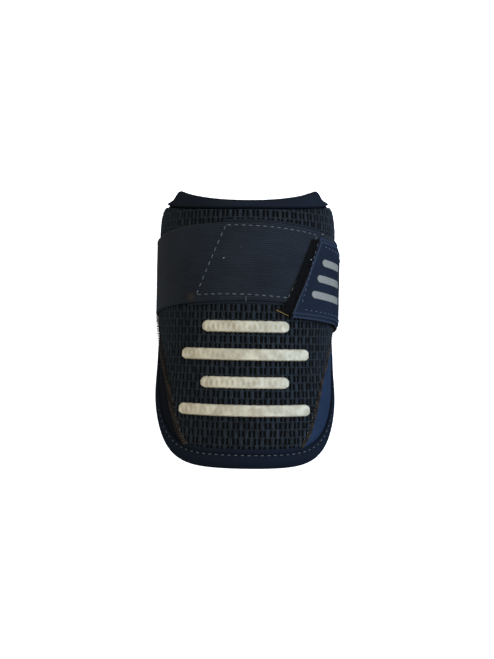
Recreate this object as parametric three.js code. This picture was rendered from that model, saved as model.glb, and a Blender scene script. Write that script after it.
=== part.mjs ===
// Baseball elbow guard: a padded half shell for the arm, net-covered, hemmed, with an elastic strap.
// Millimetres. X runs across the guard, Y from its lower end to its upper end, Z from its back to its front.
// It lies on the back of its strap, front face up, and its origin is the middle of its footprint.

import * as THREE from 'three';

// Shell, measured on the outer skin of the padded wall
const HALF_WIDTH = 52.8; // from the middle to the widest place of the skin
const RISE = 46; // from the shell's axis to the crown of the skin
const AXIS_HEIGHT = 19; // the shell's axis above the table
const SKIN_RADIUS = 50; // arc lengths on the skin are this radius times the angle
const WING_ANGLE = 112; // degrees from the crown to the wing's edge
const LOWER_END = -80.6; // Y of the lower edge, in the middle
const UPPER_END = 87.4; // Y of the raised upper corners
const PAD_THICKNESS = 7.5;
const GAP = 0.3; // what touching pieces keep free between them

// Outline of the shell, laid flat
const WING_LOW = 5; // Y where the wing's straight edge starts
const WING_HIGH = 43; // Y where it ends
const NECK_DIP = 10.8; // how far the upper edge lies under the raised corners in the middle
const NECK_HALF = 50; // from the middle to each raised corner
const NECK_POWER = 2.1; // 2 is a parabola, more is flatter in the middle
const NECK_LEAN = 1.5; // how far the upper edge climbs from the middle to the right wing, and falls to the left

// Rounding of the outline's corners: the edge falls as (1 - share ^ across) ^ along, for a share of the half span
const LOW_LEFT_CORNER = { across: 4.4, along: 2.1 };
const LOW_RIGHT_CORNER = { across: 4.7, along: 1.65 };
const HIGH_CORNER = { across: 3.2, along: 0.3125 };

// Hem
const HEM_WIDTH = 11;
const HEM_TOP_WIDTH = 7;
const HEM_PROUD = 2; // above the skin
const HEM_INSIDE = 0.75; // below the pad's inner face
const HEM_FLAT_TO = 0.75; // share of the half span up to which the upper hem lies level with the skin
const HEM_OUTER_POWER = 2.4;
const HEM_INNER_POWER = 5;

// Cover
const COVER_LIFT = 0.4; // its underside above the skin
const NET_THICKNESS = 2.1;
const PANEL_THICKNESS = 1.2;
const PANEL_TIP = 0.8; // its width at its lower tip
const PANEL_CORNER = 0.8; // share of its height at which its outer edge meets the wing's straight edge
const EDGE_WIDTH = 2.4;
const EDGE_PROUD = 2.6;
const COLLAR_SPAN = 58; // arc length from the middle to the ear
const COLLAR_WIDTH = 4.6;
const COLLAR_PROUD = 3.4;
const COLLAR_EAR = 0.42; // share of the width and height left at the ear
const COLLAR_EAR_RISE = 3.6; // how far the ear lies above the middle of the collar
const COLLAR_FLAT = 0.3; // share of the height left at the collar's long edges

// Strap
const BAND_WIDTH = 45.5;
const BAND_THICKNESS = 1.4;
const BAND_MIDDLE = 41.4; // Y of its middle line on the crown
const BAND_FALL = 9; // how far it falls by the shell's widest place
const BAND_TURN_ANGLE = 107; // degrees, where it leaves the wing for the table
const BACKING_THICKNESS = 0.8;
const BACKING_PEEK = 1.8; // past each edge of the band
const BACKING_FROM = -13; // arc lengths on the skin, at its upper edge
const BACKING_TO = 44;
const BACKING_SLANT = 21; // how far its ends lean to the left on the way down
const RAMP = 14; // arc length over which the band climbs on the backing
const TAB_WIDTH = 48.6;
const TAB_THICKNESS = 1.2;
const TAB_SHIFT = -6; // its middle line from the band's, along Y, at its slanted end
const TAB_CLIMB = 1.2; // how far its middle line has come back up at the other end
const TAB_TOP_FROM = 40.8; // arc length of its slanted end, at the upper corner
const TAB_LOW_FROM = 23.4; // and at the lower corner
const TAB_TO = 90;
const HOOK_THICKNESS = 0.8;
const HOOK_PEEK = 4.6; // past the tab's slanted end
const HOOK_INSET = 1.6; // inside the tab's long edges
const HOOK_TO = 54;

// Bars, moulded on the net
const BAR_THICKNESS = 1.3;
const BAR_HEIGHT = 7;
const BAR_PITCH = 16.4;
const BAR_TOP = 3.4; // Y of the top bar's middle line
const BAR_LONG = 74;
const BAR_SHORT = 48;
const BARS = ['short', 'long', 'short', 'long'];
const BAR_BLUNT = 0.3; // share of the height left at the round end

// Sections of the skin: place as a share of the length, width and rise as shares of the named sizes
const SECTIONS = [
  { at: 0.0, width: 1.055, rise: 0.975 },
  { at: 0.2, width: 1.047, rise: 0.99 },
  { at: 0.36, width: 1.01, rise: 1.0 },
  { at: 0.48, width: 1.0, rise: 1.0 },
  { at: 0.84, width: 1.0, rise: 1.0 },
  { at: 0.92, width: 0.98, rise: 0.985 },
  { at: 1.0, width: 0.92, rise: 0.95 },
];

// Side edge of the net: place as a share of its height, reach as a share of the pad's half span
const NET_SIDE = [
  { at: 0.0, reach: 0.37 },
  { at: 0.05, reach: 0.425 },
  { at: 0.1, reach: 0.46 },
  { at: 0.2, reach: 0.514 },
  { at: 0.3, reach: 0.575 },
  { at: 0.36, reach: 0.63 },
  { at: 0.43, reach: 0.69 },
  { at: 0.56, reach: 0.82 },
  { at: 0.65, reach: 0.955 },
];

// Facets of each piece, columns across it and rows along it
const FACETS = {
  pad: [34, 22],
  net: [26, 24],
  collar: [26, 6],
  edge: [1, 16],
  panel: [7, 22],
  backing: [14, 3],
  tab: [12, 3],
  hook: [8, 3],
  bar: [14, 1],
};
const HEM_SIDE_STEPS = 8; // along each wing's straight edge
const HEM_POINTS = 12; // round its section
const BAND_STEPS = 19; // from the crown to the turn
const BAND_TURN_STEPS = 6;

const DEGREE = Math.PI / 180;
const HALF_SPAN = SKIN_RADIUS * WING_ANGLE * DEGREE;
const NET_TOP = COVER_LIFT + NET_THICKNESS;
const BAND_LOW = NET_TOP + GAP;
const BAND_ON_BACKING = BAND_LOW + BACKING_THICKNESS + GAP;
const TAB_LOW = BAND_LOW + BAND_THICKNESS + GAP;
const TAB_ON_HOOK = BAND_ON_BACKING + BAND_THICKNESS + HOOK_THICKNESS + 2 * GAP;
const INSIDE_HEM = 1 + GAP / HEM_TOP_WIDTH; // outline 0 is the hem's outer edge, 1 its inner edge

const mix = (a, b, share) => a + (b - a) * share;
const clamp01 = (value) => Math.min(1, Math.max(0, value));
const ease = (from, to, value) => THREE.MathUtils.smoothstep(value, from, to);

// A smooth curve through a table's rows that never swings past them, as a function of the column named at
function through(rows, column) {
  const pitch = (index) => (rows[index + 1][column] - rows[index][column]) / (rows[index + 1].at - rows[index].at);
  const slopes = rows.map((_, index) => {
    const before = pitch(Math.max(0, index - 1));
    const after = pitch(Math.min(rows.length - 2, index));
    return before * after > 0 ? 2 * before * after / (before + after) : 0;
  });
  return (at) => {
    const found = rows.findLastIndex((row) => row.at <= at);
    const first = Math.min(rows.length - 2, Math.max(0, found));
    const step = rows[first + 1].at - rows[first].at;
    const share = clamp01((at - rows[first].at) / step);
    const rise = share * share * (3 - 2 * share);
    const bend = share * (1 - share) * step;
    return mix(rows[first][column], rows[first + 1][column], rise)
      + bend * ((1 - share) * slopes[first] - share * slopes[first + 1]);
  };
}

const widthAt = through(SECTIONS, 'width');
const riseAt = through(SECTIONS, 'rise');
const netReach = through(NET_SIDE, 'reach');

// The skin's section in the XZ plane: angle from the crown, offset outwards
function section(angle, offset, halfWidth, rise) {
  const normal = new THREE.Vector2(Math.sin(angle) / halfWidth, Math.cos(angle) / rise).normalize();
  return {
    x: halfWidth * Math.sin(angle) + offset * normal.x,
    z: AXIS_HEIGHT + rise * Math.cos(angle) + offset * normal.y,
  };
}

// A place on the skin: arc length from the middle line, Y, and offset outwards
function onSkin(arc, y, offset) {
  const along = (y - LOWER_END) / (UPPER_END - LOWER_END);
  const angle = arc / SKIN_RADIUS;
  const { x, z } = section(angle, offset, HALF_WIDTH * widthAt(along), RISE * riseAt(along));
  return new THREE.Vector3(x, y, z);
}

// The nested outlines of the hem, laid flat
const spanOf = (inset) => HALF_SPAN - HEM_WIDTH * inset;

function cornerFall(arc, inset, corner) {
  const share = clamp01(Math.abs(arc) / spanOf(inset));
  return (1 - share ** corner.across) ** corner.along;
}

function lowEdge(arc, inset) {
  const depth = WING_LOW - LOWER_END - HEM_WIDTH * inset;
  return WING_LOW - depth * cornerFall(arc, inset, arc < 0 ? LOW_LEFT_CORNER : LOW_RIGHT_CORNER);
}

function highEdge(arc, inset) {
  const depth = UPPER_END - WING_HIGH - HEM_TOP_WIDTH * inset;
  const dip = NECK_DIP * (1 - clamp01(Math.abs(arc) / NECK_HALF) ** NECK_POWER);
  const lean = NECK_LEAN * arc / HALF_SPAN;
  return WING_HIGH + depth * cornerFall(arc, inset, HIGH_CORNER) - dip + lean;
}

// Closed bodies
function body(name, positions, triangles, look) {
  const geometry = new THREE.BufferGeometry();
  geometry.setAttribute('position', new THREE.Float32BufferAttribute(positions.flatMap((p) => [p.x, p.y, p.z]), 3));
  geometry.setIndex(triangles);
  geometry.computeVertexNormals();
  const mesh = new THREE.Mesh(geometry, new THREE.MeshStandardMaterial(look));
  mesh.name = name;
  return mesh;
}

// A wall between an inner and an outer face, each a grid of columns across and rows along
function wall(name, [columns, rows], place, look) {
  const across = columns + 1;
  const face = across * (rows + 1);
  const positions = [];
  for (const outer of [0, 1]) {
    for (let row = 0; row <= rows; row += 1) {
      for (let column = 0; column <= columns; column += 1) {
        positions.push(place(-1 + 2 * column / columns, row / rows, outer));
      }
    }
  }
  const triangles = [];
  const quad = (a, b, c, d) => triangles.push(a, b, c, a, c, d);
  const at = (column, row, outer) => outer * face + row * across + column;
  for (let row = 0; row < rows; row += 1) {
    for (let column = 0; column < columns; column += 1) {
      quad(at(column, row, 1), at(column + 1, row, 1), at(column + 1, row + 1, 1), at(column, row + 1, 1));
      quad(at(column, row, 0), at(column, row + 1, 0), at(column + 1, row + 1, 0), at(column + 1, row, 0));
    }
    quad(at(0, row, 0), at(0, row, 1), at(0, row + 1, 1), at(0, row + 1, 0));
    quad(at(columns, row, 0), at(columns, row + 1, 0), at(columns, row + 1, 1), at(columns, row, 1));
  }
  for (let column = 0; column < columns; column += 1) {
    quad(at(column, 0, 0), at(column + 1, 0, 0), at(column + 1, 0, 1), at(column, 0, 1));
    quad(at(column, rows, 0), at(column, rows, 1), at(column + 1, rows, 1), at(column + 1, rows, 0));
  }
  return body(name, positions, triangles, look);
}

// A ring of loops, each with the same number of points, that comes back to its first loop
function ring(name, loops, look) {
  const count = loops[0].length;
  const triangles = [];
  loops.forEach((loop, index) => {
    const next = (index + 1) % loops.length;
    for (let point = 0; point < count; point += 1) {
      const after = (point + 1) % count;
      const a = index * count + point;
      const b = index * count + after;
      const c = next * count + after;
      const d = next * count + point;
      triangles.push(a, b, c, a, c, d);
    }
  });
  return body(name, loops.flat(), triangles, look);
}

const NAVY = { roughness: 0.85, metalness: 0 };
const LOOKS = {
  pad: { ...NAVY, color: 0x151a22 },
  hem: { ...NAVY, color: 0x1c2430 },
  net: { ...NAVY, color: 0x161b20 },
  panel: { ...NAVY, color: 0x283649, roughness: 0.7 },
  edge: { ...NAVY, color: 0x2a2320 },
  collar: { ...NAVY, color: 0x1d222a },
  band: { ...NAVY, color: 0x1e2227 },
  backing: { ...NAVY, color: 0x15181c },
  tab: { ...NAVY, color: 0x242d3c },
  hook: { ...NAVY, color: 0x08090b, roughness: 0.95 },
  bar: { color: 0xbcb7a1, roughness: 0.6, metalness: 0 },
};

// Shares of the half span, closer together towards the wings, where the outline turns
const ACROSS = FACETS.pad[0];
const arcShare = (across) => Math.sin(across * Math.PI / 2);

// The padded wall inside the hem
function linerPad() {
  return wall('liner_pad', FACETS.pad, (across, along, outer) => {
    const arc = spanOf(INSIDE_HEM) * arcShare(across);
    const y = mix(lowEdge(arc, INSIDE_HEM), highEdge(arc, INSIDE_HEM), along);
    return onSkin(arc, y, outer ? 0 : -PAD_THICKNESS);
  }, LOOKS.pad);
}

// One loop of the hem: a rounded section between the outer and the inner outline
function hemLoop(outlineAt, proud) {
  const foot = -PAD_THICKNESS - HEM_INSIDE;
  const rounded = (value, power) => Math.sign(value) * Math.abs(value) ** (2 / power);
  return Array.from({ length: HEM_POINTS }, (_, index) => {
    const angle = 2 * Math.PI * (index + 0.5) / HEM_POINTS;
    const power = Math.cos(angle) > 0 ? HEM_INNER_POWER : HEM_OUTER_POWER;
    const inset = 0.5 + 0.5 * rounded(Math.cos(angle), power);
    const lift = 0.5 + 0.5 * rounded(Math.sin(angle), power);
    const { arc, y } = outlineAt(inset);
    return onSkin(arc, y, mix(foot, proud, lift));
  });
}

// The hem runs right round the pad: lower edge, right wing, upper edge, left wing
function hemRoll() {
  const loops = [];
  const edge = (share, edgeOf, proud) => loops.push(hemLoop((inset) => {
    const arc = spanOf(inset) * share;
    return { arc, y: edgeOf(arc, inset) };
  }, proud));
  const side = (sign, y) => loops.push(hemLoop((inset) => ({ arc: sign * spanOf(inset), y }), HEM_PROUD));
  for (let step = 0; step < ACROSS; step += 1) {
    edge(arcShare(-1 + 2 * step / ACROSS), lowEdge, HEM_PROUD);
  }
  for (let step = 0; step < HEM_SIDE_STEPS; step += 1) {
    side(1, mix(WING_LOW, WING_HIGH, step / HEM_SIDE_STEPS));
  }
  for (let step = 0; step < ACROSS; step += 1) {
    const share = arcShare(1 - 2 * step / ACROSS);
    edge(share, highEdge, HEM_PROUD * ease(HEM_FLAT_TO, 1, Math.abs(share)));
  }
  for (let step = 0; step < HEM_SIDE_STEPS; step += 1) {
    side(-1, mix(WING_HIGH, WING_LOW, step / HEM_SIDE_STEPS));
  }
  return ring('hem_roll', loops, LOOKS.hem);
}

// The collar tapers from the middle to its two ears
const collarShare = (arc) => mix(1, COLLAR_EAR, clamp01(Math.abs(arc) / COLLAR_SPAN) ** 3);
const collarMiddle = (arc) => UPPER_END - NECK_DIP - COLLAR_WIDTH / 2
  + NECK_LEAN * arc / HALF_SPAN + COLLAR_EAR_RISE * (arc / COLLAR_SPAN) ** 2;
const collarLow = (arc) => collarMiddle(arc) - COLLAR_WIDTH / 2 * collarShare(arc);

function collarBand() {
  return wall('collar_band', FACETS.collar, (across, along, outer) => {
    const arc = across * COLLAR_SPAN;
    const turn = along * Math.PI;
    const size = collarShare(arc);
    const y = collarMiddle(arc) - Math.cos(turn) * COLLAR_WIDTH / 2 * size;
    const lift = (outer ? 1 : -1) * mix(COLLAR_FLAT, 1, Math.sin(turn)) * COLLAR_PROUD / 2 * size;
    return onSkin(arc, y, GAP + COLLAR_PROUD / 2 * size + lift);
  }, LOOKS.collar);
}

// The cover's upper edge: under the collar in the middle, along the hem at the wings
function coverTop(arc) {
  const pad = highEdge(arc, INSIDE_HEM);
  const beyond = ease(COLLAR_SPAN + GAP, COLLAR_SPAN + 3 * COLLAR_WIDTH, Math.abs(arc));
  return mix(collarLow(arc) - GAP, pad, beyond);
}

const netSide = (along) => spanOf(INSIDE_HEM) * netReach(along);

// Y on the net, for a share of its half width and a share of its height
const netY = (across, along) => mix(lowEdge(across * netSide(0), INSIDE_HEM), coverTop(across * netSide(1)), along);

function netCover() {
  return wall('net_cover', FACETS.net, (across, along, outer) => {
    const arc = across * (netSide(along) - EDGE_WIDTH / 2 - GAP);
    return onSkin(arc, netY(across, along), outer ? NET_TOP : COVER_LIFT);
  }, LOOKS.net);
}

const SIDES = [{ name: 'left', sign: -1 }, { name: 'right', sign: 1 }];
const EDGE_ENDS = NET_SIDE[NET_SIDE.length - 1].at;

// The bound edge of the net, as far up as the hem
function netEdge({ name, sign }) {
  return wall(`net_edge_${name}`, FACETS.edge, (across, along, outer) => {
    const share = along * EDGE_ENDS;
    const arc = sign * netSide(share) + across * EDGE_WIDTH / 2;
    return onSkin(arc, netY(sign, share), outer ? EDGE_PROUD : COVER_LIFT);
  }, LOOKS.edge);
}

// The hem's inner edge beside the net: along the lower edge to the wing, then up the wing
function hemBeside(sign, along) {
  const round = clamp01(along / PANEL_CORNER);
  const from = netSide(0) + EDGE_WIDTH / 2 + GAP + PANEL_TIP;
  const arc = sign * mix(from, spanOf(INSIDE_HEM), round);
  const up = clamp01((along - PANEL_CORNER) / (1 - PANEL_CORNER));
  return { arc, y: mix(lowEdge(arc, INSIDE_HEM), netY(sign, EDGE_ENDS), up) };
}

// The smooth panel between the net's edge and the hem
function sidePanel({ name, sign }) {
  return wall(`side_panel_${name}`, FACETS.panel, (across, along, outer) => {
    const share = along * EDGE_ENDS;
    const from = sign * (netSide(share) + EDGE_WIDTH / 2 + GAP);
    const { arc, y } = hemBeside(sign, along);
    const out = (1 + sign * across) / 2;
    const lift = outer ? COVER_LIFT + PANEL_THICKNESS : COVER_LIFT;
    return onSkin(mix(from, arc, out), mix(netY(sign, share), y, out), lift);
  }, LOOKS.panel);
}

// The strap's path in the XZ plane, as a loop of stations from the crown: over the right wing,
// round its edge, flat along the table, and back up over the left wing
const TURN = BAND_TURN_ANGLE * DEGREE;
const turnNormal = section(TURN, 1, HALF_WIDTH, RISE);
const turnSkin = section(TURN, 0, HALF_WIDTH, RISE);
const turnLean = turnNormal.z - turnSkin.z;
const bandMiddle = BAND_LOW + BAND_THICKNESS / 2;
const TURN_RADIUS = (turnSkin.z + bandMiddle * turnLean - BAND_THICKNESS / 2) / (1 + turnLean);

function bandPlace(station, offset) {
  const { angle, turned } = station;
  const sign = Math.sign(angle);
  if (turned === undefined) {
    return section(angle, offset, HALF_WIDTH, RISE);
  }
  const centre = section(TURN, bandMiddle - TURN_RADIUS, HALF_WIDTH, RISE);
  const start = Math.atan2(turnNormal.x - turnSkin.x, turnLean);
  const heading = mix(start, Math.PI, turned);
  const radius = TURN_RADIUS + offset - bandMiddle;
  return { x: sign * (centre.x + radius * Math.sin(heading)), z: centre.z + radius * Math.cos(heading) };
}

// How far the strap's middle line has fallen, all the way round
const bandLine = (angle) => BAND_MIDDLE - BAND_FALL * (1 - Math.cos(angle));

// The band climbs on its backing between the backing's ends
function bandUnder(arc) {
  const on = ease(BACKING_FROM - BACKING_SLANT - RAMP, BACKING_FROM - BACKING_SLANT, arc);
  const off = ease(BACKING_TO, BACKING_TO + RAMP, arc);
  return mix(BAND_LOW, BAND_ON_BACKING, on * (1 - off));
}

function strapBand() {
  const stations = [];
  for (let step = -BAND_STEPS; step <= BAND_STEPS; step += 1) {
    stations.push({ angle: TURN * step / BAND_STEPS });
  }
  for (let step = 1; step <= BAND_TURN_STEPS; step += 1) {
    stations.push({ angle: TURN, turned: step / BAND_TURN_STEPS });
  }
  for (let step = BAND_TURN_STEPS; step >= 1; step -= 1) {
    stations.push({ angle: -TURN, turned: step / BAND_TURN_STEPS });
  }
  const loops = stations.map((station) => {
    const low = station.turned === undefined ? bandUnder(station.angle * SKIN_RADIUS) : BAND_LOW;
    const round = station.turned === undefined ? station.angle : mix(TURN, Math.PI, station.turned);
    const middle = bandLine(round);
    const corners = [[-1, 0], [1, 0], [1, 1], [-1, 1]];
    return corners.map(([edge, outer]) => {
      const { x, z } = bandPlace(station, low + outer * BAND_THICKNESS);
      return new THREE.Vector3(x, middle + edge * BAND_WIDTH / 2, z);
    });
  });
  return ring('strap_band', loops, LOOKS.band);
}

// A patch that lies along the strap: its ends by arc length at each edge, its middle line and half width
function patch(name, facets, shape, look) {
  return wall(name, facets, (across, along, outer) => {
    const arc = mix(shape.from(along), shape.to(along), (1 + across) / 2);
    const angle = arc / SKIN_RADIUS;
    const { x, z } = section(angle, shape.under(arc) + outer * shape.thickness, HALF_WIDTH, RISE);
    const middle = bandLine(angle) + (shape.shift?.(arc) ?? 0);
    return new THREE.Vector3(x, middle + mix(-1, 1, along) * shape.halfWidth, z);
  }, look);
}

function strapBacking() {
  return patch('strap_backing', FACETS.backing, {
    from: (along) => BACKING_FROM - BACKING_SLANT * (1 - along),
    to: (along) => BACKING_TO - BACKING_SLANT * (1 - along),
    under: () => BAND_LOW,
    thickness: BACKING_THICKNESS,
    halfWidth: BAND_WIDTH / 2 + BACKING_PEEK,
  }, LOOKS.backing);
}

const tabFrom = (along) => mix(TAB_LOW_FROM, TAB_TOP_FROM, along);
const tabShift = (arc) => TAB_SHIFT + TAB_CLIMB * clamp01((arc - TAB_LOW_FROM) / (TAB_TO - TAB_LOW_FROM));

function pullTab() {
  return patch('pull_tab', FACETS.tab, {
    from: tabFrom,
    to: () => TAB_TO,
    under: (arc) => mix(TAB_ON_HOOK, TAB_LOW, ease(HOOK_TO, HOOK_TO + RAMP, arc)),
    thickness: TAB_THICKNESS,
    halfWidth: TAB_WIDTH / 2,
    shift: tabShift,
  }, LOOKS.tab);
}

function tabHook() {
  return patch('tab_hook', FACETS.hook, {
    from: (along) => tabFrom(along) - HOOK_PEEK,
    to: () => HOOK_TO - RAMP / 2,
    under: () => BAND_ON_BACKING + BAND_THICKNESS + GAP,
    thickness: HOOK_THICKNESS,
    halfWidth: TAB_WIDTH / 2 - HOOK_INSET,
    shift: tabShift,
  }, LOOKS.hook);
}

// A bar with round ends, moulded on the net
function badgeBar(length, index) {
  const middle = BAR_TOP - BAR_PITCH * index;
  const straight = (length - BAR_HEIGHT) / length;
  return wall(`badge_bar_${index + 1}`, FACETS.bar, (across, along, outer) => {
    const share = Math.sin(across * Math.PI / 2);
    const past = clamp01((Math.abs(share) - straight) / (1 - straight));
    const half = BAR_HEIGHT / 2 * Math.max(BAR_BLUNT, Math.sqrt(1 - past * past));
    const low = NET_TOP + GAP;
    return onSkin(share * length / 2, middle + mix(-half, half, along), outer ? low + BAR_THICKNESS : low);
  }, LOOKS.bar);
}

const guard = new THREE.Group();
guard.add(linerPad(), hemRoll(), netCover(), collarBand());
SIDES.forEach((side) => guard.add(netEdge(side), sidePanel(side)));
guard.add(strapBand(), strapBacking(), pullTab(), tabHook());
BARS.forEach((kind, index) => guard.add(badgeBar(kind === 'long' ? BAR_LONG : BAR_SHORT, index)));

// The origin is the middle of the footprint, on the table
const box = new THREE.Box3().setFromObject(guard, true);
const footprint = box.getCenter(new THREE.Vector3()).setZ(box.min.z);
guard.position.copy(footprint.negate());

export default guard;
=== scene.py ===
# %% [markdown]
# # Baseball elbow guard
# A padded half shell that a batter straps round the elbow. The real one is sewn: foam and a moulded cap lie between
# an inner lining and an open knitted net, a rolled hem closes the edge, and one elastic strap holds it on the arm.
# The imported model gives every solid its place. Here each fabric is made again with its own folds, seams and threads.

import math

import bmesh
import bpy
import numpy as np
from mathutils import Matrix, Vector


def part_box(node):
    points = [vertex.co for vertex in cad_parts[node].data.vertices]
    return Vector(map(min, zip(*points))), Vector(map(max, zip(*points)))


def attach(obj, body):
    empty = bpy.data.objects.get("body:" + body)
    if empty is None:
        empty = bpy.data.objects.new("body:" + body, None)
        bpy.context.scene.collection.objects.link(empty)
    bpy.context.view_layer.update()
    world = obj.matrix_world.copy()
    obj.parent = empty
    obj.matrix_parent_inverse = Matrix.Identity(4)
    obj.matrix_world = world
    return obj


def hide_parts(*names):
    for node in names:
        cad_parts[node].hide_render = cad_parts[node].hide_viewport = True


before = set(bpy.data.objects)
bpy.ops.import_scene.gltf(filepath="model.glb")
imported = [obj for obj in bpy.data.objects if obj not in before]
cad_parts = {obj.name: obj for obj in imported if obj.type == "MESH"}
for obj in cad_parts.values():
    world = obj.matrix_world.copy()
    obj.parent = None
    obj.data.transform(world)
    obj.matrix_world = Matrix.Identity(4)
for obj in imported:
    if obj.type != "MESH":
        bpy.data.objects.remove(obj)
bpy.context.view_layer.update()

# %% [markdown]
# ## The shell's skin
# Every piece lies on one curved skin, so one function turns a flat cutting pattern into places on the guard, as a
# tailor's dummy does. A place is an arc length from the middle line, a length along the arm and a height above the
# skin, all in millimetres. Its numbers are the solids' own, and the strap's solid gives where the part was centred.

# %% Skin
MM = 0.001
HALF_WIDTH, RISE, AXIS_HEIGHT, SKIN_RADIUS = 52.8, 46.0, 19.0, 50.0
HALF_SPAN = SKIN_RADIUS * math.radians(112)
LOWER_END, UPPER_END = -80.6, 87.4
WING_LOW, WING_HIGH = 5.0, 43.0
HEM_WIDTH, HEM_TOP_WIDTH, GAP = 11.0, 7.0, 0.3
PAD_THICKNESS, NET_TOP = 7.5, 2.5
BAND_WIDTH, BAND_THICKNESS, BAND_MIDDLE, BAND_FALL = 45.5, 1.4, 41.4, 9.0
SECTIONS = np.array([(0, 1.055, 0.975), (0.2, 1.047, 0.99), (0.36, 1.01, 1), (0.48, 1, 1), (0.84, 1, 1),
                     (0.92, 0.98, 0.985), (1, 0.92, 0.95)])
NET_SIDE = np.array([(0, 0.37), (0.05, 0.425), (0.1, 0.46), (0.2, 0.514), (0.3, 0.575), (0.36, 0.63),
                     (0.43, 0.69), (0.56, 0.82), (0.65, 0.955)])
strap_low, strap_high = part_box("strap_band")
SHIFT = np.array([(strap_low.x + strap_high.x) / 2 / MM, strap_high.y / MM - BAND_MIDDLE - BAND_WIDTH / 2, 0])


def ease(start, end, value):
    """A soft step from 0 to 1."""
    share = np.clip((value - start) / (end - start), 0, 1)
    return share * share * (3 - 2 * share)


def mix(a, b, share):
    return a + (b - a) * share


def through(places, values):
    """A smooth curve through a table that never swings past its rows."""
    pitch = np.diff(values) / np.diff(places)
    before = np.concatenate([pitch[:1], pitch])
    after = np.concatenate([pitch, pitch[-1:]])
    same_way = before * after > 0
    slope = np.where(same_way, 2 * before * after / np.where(same_way, before + after, 1), 0)

    def at(where):
        first = np.clip(np.searchsorted(places, where, side="right") - 1, 0, len(places) - 2)
        step = places[first + 1] - places[first]
        share = np.clip((where - places[first]) / step, 0, 1)
        bend = share * (1 - share) * step
        return (mix(values[first], values[first + 1], share * share * (3 - 2 * share))
                + bend * ((1 - share) * slope[first] - share * slope[first + 1]))
    return at


width_at = through(SECTIONS[:, 0], SECTIONS[:, 1])
rise_at = through(SECTIONS[:, 0], SECTIONS[:, 2])
net_reach = through(NET_SIDE[:, 0], NET_SIDE[:, 1])


def section(angle, offset, half_width=HALF_WIDTH, rise=RISE):
    """X and Z on the shell's section, at an angle from the crown and an offset outwards."""
    across, up = np.sin(angle) / half_width, np.cos(angle) / rise
    length = np.hypot(across, up)
    return (half_width * np.sin(angle) + offset * across / length,
            AXIS_HEIGHT + rise * np.cos(angle) + offset * up / length)


def on_skin(arc, y, offset):
    """Places on the shell, in millimetres, as rows of X, Y and Z."""
    arc, y, offset = np.broadcast_arrays(*(np.asarray(v, float) for v in (arc, y, offset)))
    along = (y - LOWER_END) / (UPPER_END - LOWER_END)
    angle = arc / SKIN_RADIUS
    x, z = section(angle, offset, HALF_WIDTH * width_at(along), RISE * rise_at(along))
    return np.stack([x, y, z], axis=-1)


print("skin shift", SHIFT.round(3), "crown", on_skin(0, 0, 0).round(2))

# %% [markdown]
# ## The cutting pattern
# The shell is cut as a rounded rectangle with a dip at the neck. The hem, the cover and the lining are nested inside
# the same outline, so the outline takes an inset: 0 is the hem's outer edge and 1 its inner edge.

# %% Pattern
INSIDE_HEM = 1 + GAP / HEM_TOP_WIDTH
TUCK = 1.4
NECK_DIP = 10.8


def span_of(inset):
    return HALF_SPAN - HEM_WIDTH * inset


def corner_fall(arc, inset, across, along):
    share = np.clip(np.abs(arc) / span_of(inset), 0, 1)
    return (1 - share ** across) ** along


def low_edge(arc, inset):
    depth = WING_LOW - LOWER_END - HEM_WIDTH * inset
    return WING_LOW - depth * np.where(arc < 0, corner_fall(arc, inset, 4.4, 2.1), corner_fall(arc, inset, 4.7, 1.65))


def high_edge(arc, inset):
    depth = UPPER_END - WING_HIGH - HEM_TOP_WIDTH * inset
    dip = NECK_DIP * (1 - np.clip(np.abs(arc) / 50, 0, 1) ** 2.1)
    return WING_HIGH + depth * corner_fall(arc, inset, 3.2, 0.3125) - dip + 1.5 * arc / HALF_SPAN


COLLAR_SPAN, COLLAR_WIDTH = 58.0, 4.6


def collar_share(arc):
    return mix(1, 0.42, np.clip(np.abs(arc) / COLLAR_SPAN, 0, 1) ** 3)


def collar_middle(arc):
    return UPPER_END - NECK_DIP - COLLAR_WIDTH / 2 + 1.5 * arc / HALF_SPAN + 3.6 * (arc / COLLAR_SPAN) ** 2


def cover_top(arc):
    collar = collar_middle(arc) - COLLAR_WIDTH / 2 * collar_share(arc) - GAP
    beyond = ease(COLLAR_SPAN + GAP, COLLAR_SPAN + 3 * COLLAR_WIDTH, np.abs(arc))
    return mix(collar, high_edge(arc, INSIDE_HEM), beyond)


def net_side(along):
    return span_of(INSIDE_HEM) * net_reach(along)


def net_y(across, along):
    """Y on the net, for a share of its half width and a share of its height."""
    low, top = low_edge(across * net_side(0.0), INSIDE_HEM), cover_top(across * net_side(1.0))
    return mix(low, top, along)


def net_half(y, sign):
    """Half width of the net at a Y, on one side."""
    return net_side((y - net_y(sign, 0.0)) / (net_y(sign, 1.0) - net_y(sign, 0.0)))


print("pattern", round(2 * HALF_SPAN), "mm wide and", round(UPPER_END - LOWER_END), "mm long")

# %% [markdown]
# ## Making a mesh
# Most pieces are a sheet with an outer and an inner face, or a roll. Both are grids of points, so two helpers close
# them up, and each keeps the flat pattern as its UV map, in millimetres. A weave drawn on that map bends with the
# cloth, as the threads of the real piece do.

# %% Mesh helpers


def place(points):
    """Millimetres on the pattern's frame to metres in the row's frame."""
    return (np.asarray(points, float) + SHIFT) * MM


def add_piece(name, points, faces, flat, finish):
    mesh = bpy.data.meshes.new(name)
    mesh.from_pydata(place(points).tolist(), [], faces)
    corners = np.empty(len(mesh.loops), int)
    mesh.loops.foreach_get("vertex_index", corners)
    uv = mesh.uv_layers.new(name="pattern")
    uv.data.foreach_set("uv", np.asarray(flat, float)[corners].ravel())
    mesh.polygons.foreach_set("use_smooth", [True] * len(mesh.polygons))
    piece = bpy.data.objects.new(name, mesh)
    bpy.context.scene.collection.objects.link(piece)
    face_out(mesh)
    if finish:
        mesh.materials.append(finish)
    return piece


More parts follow.
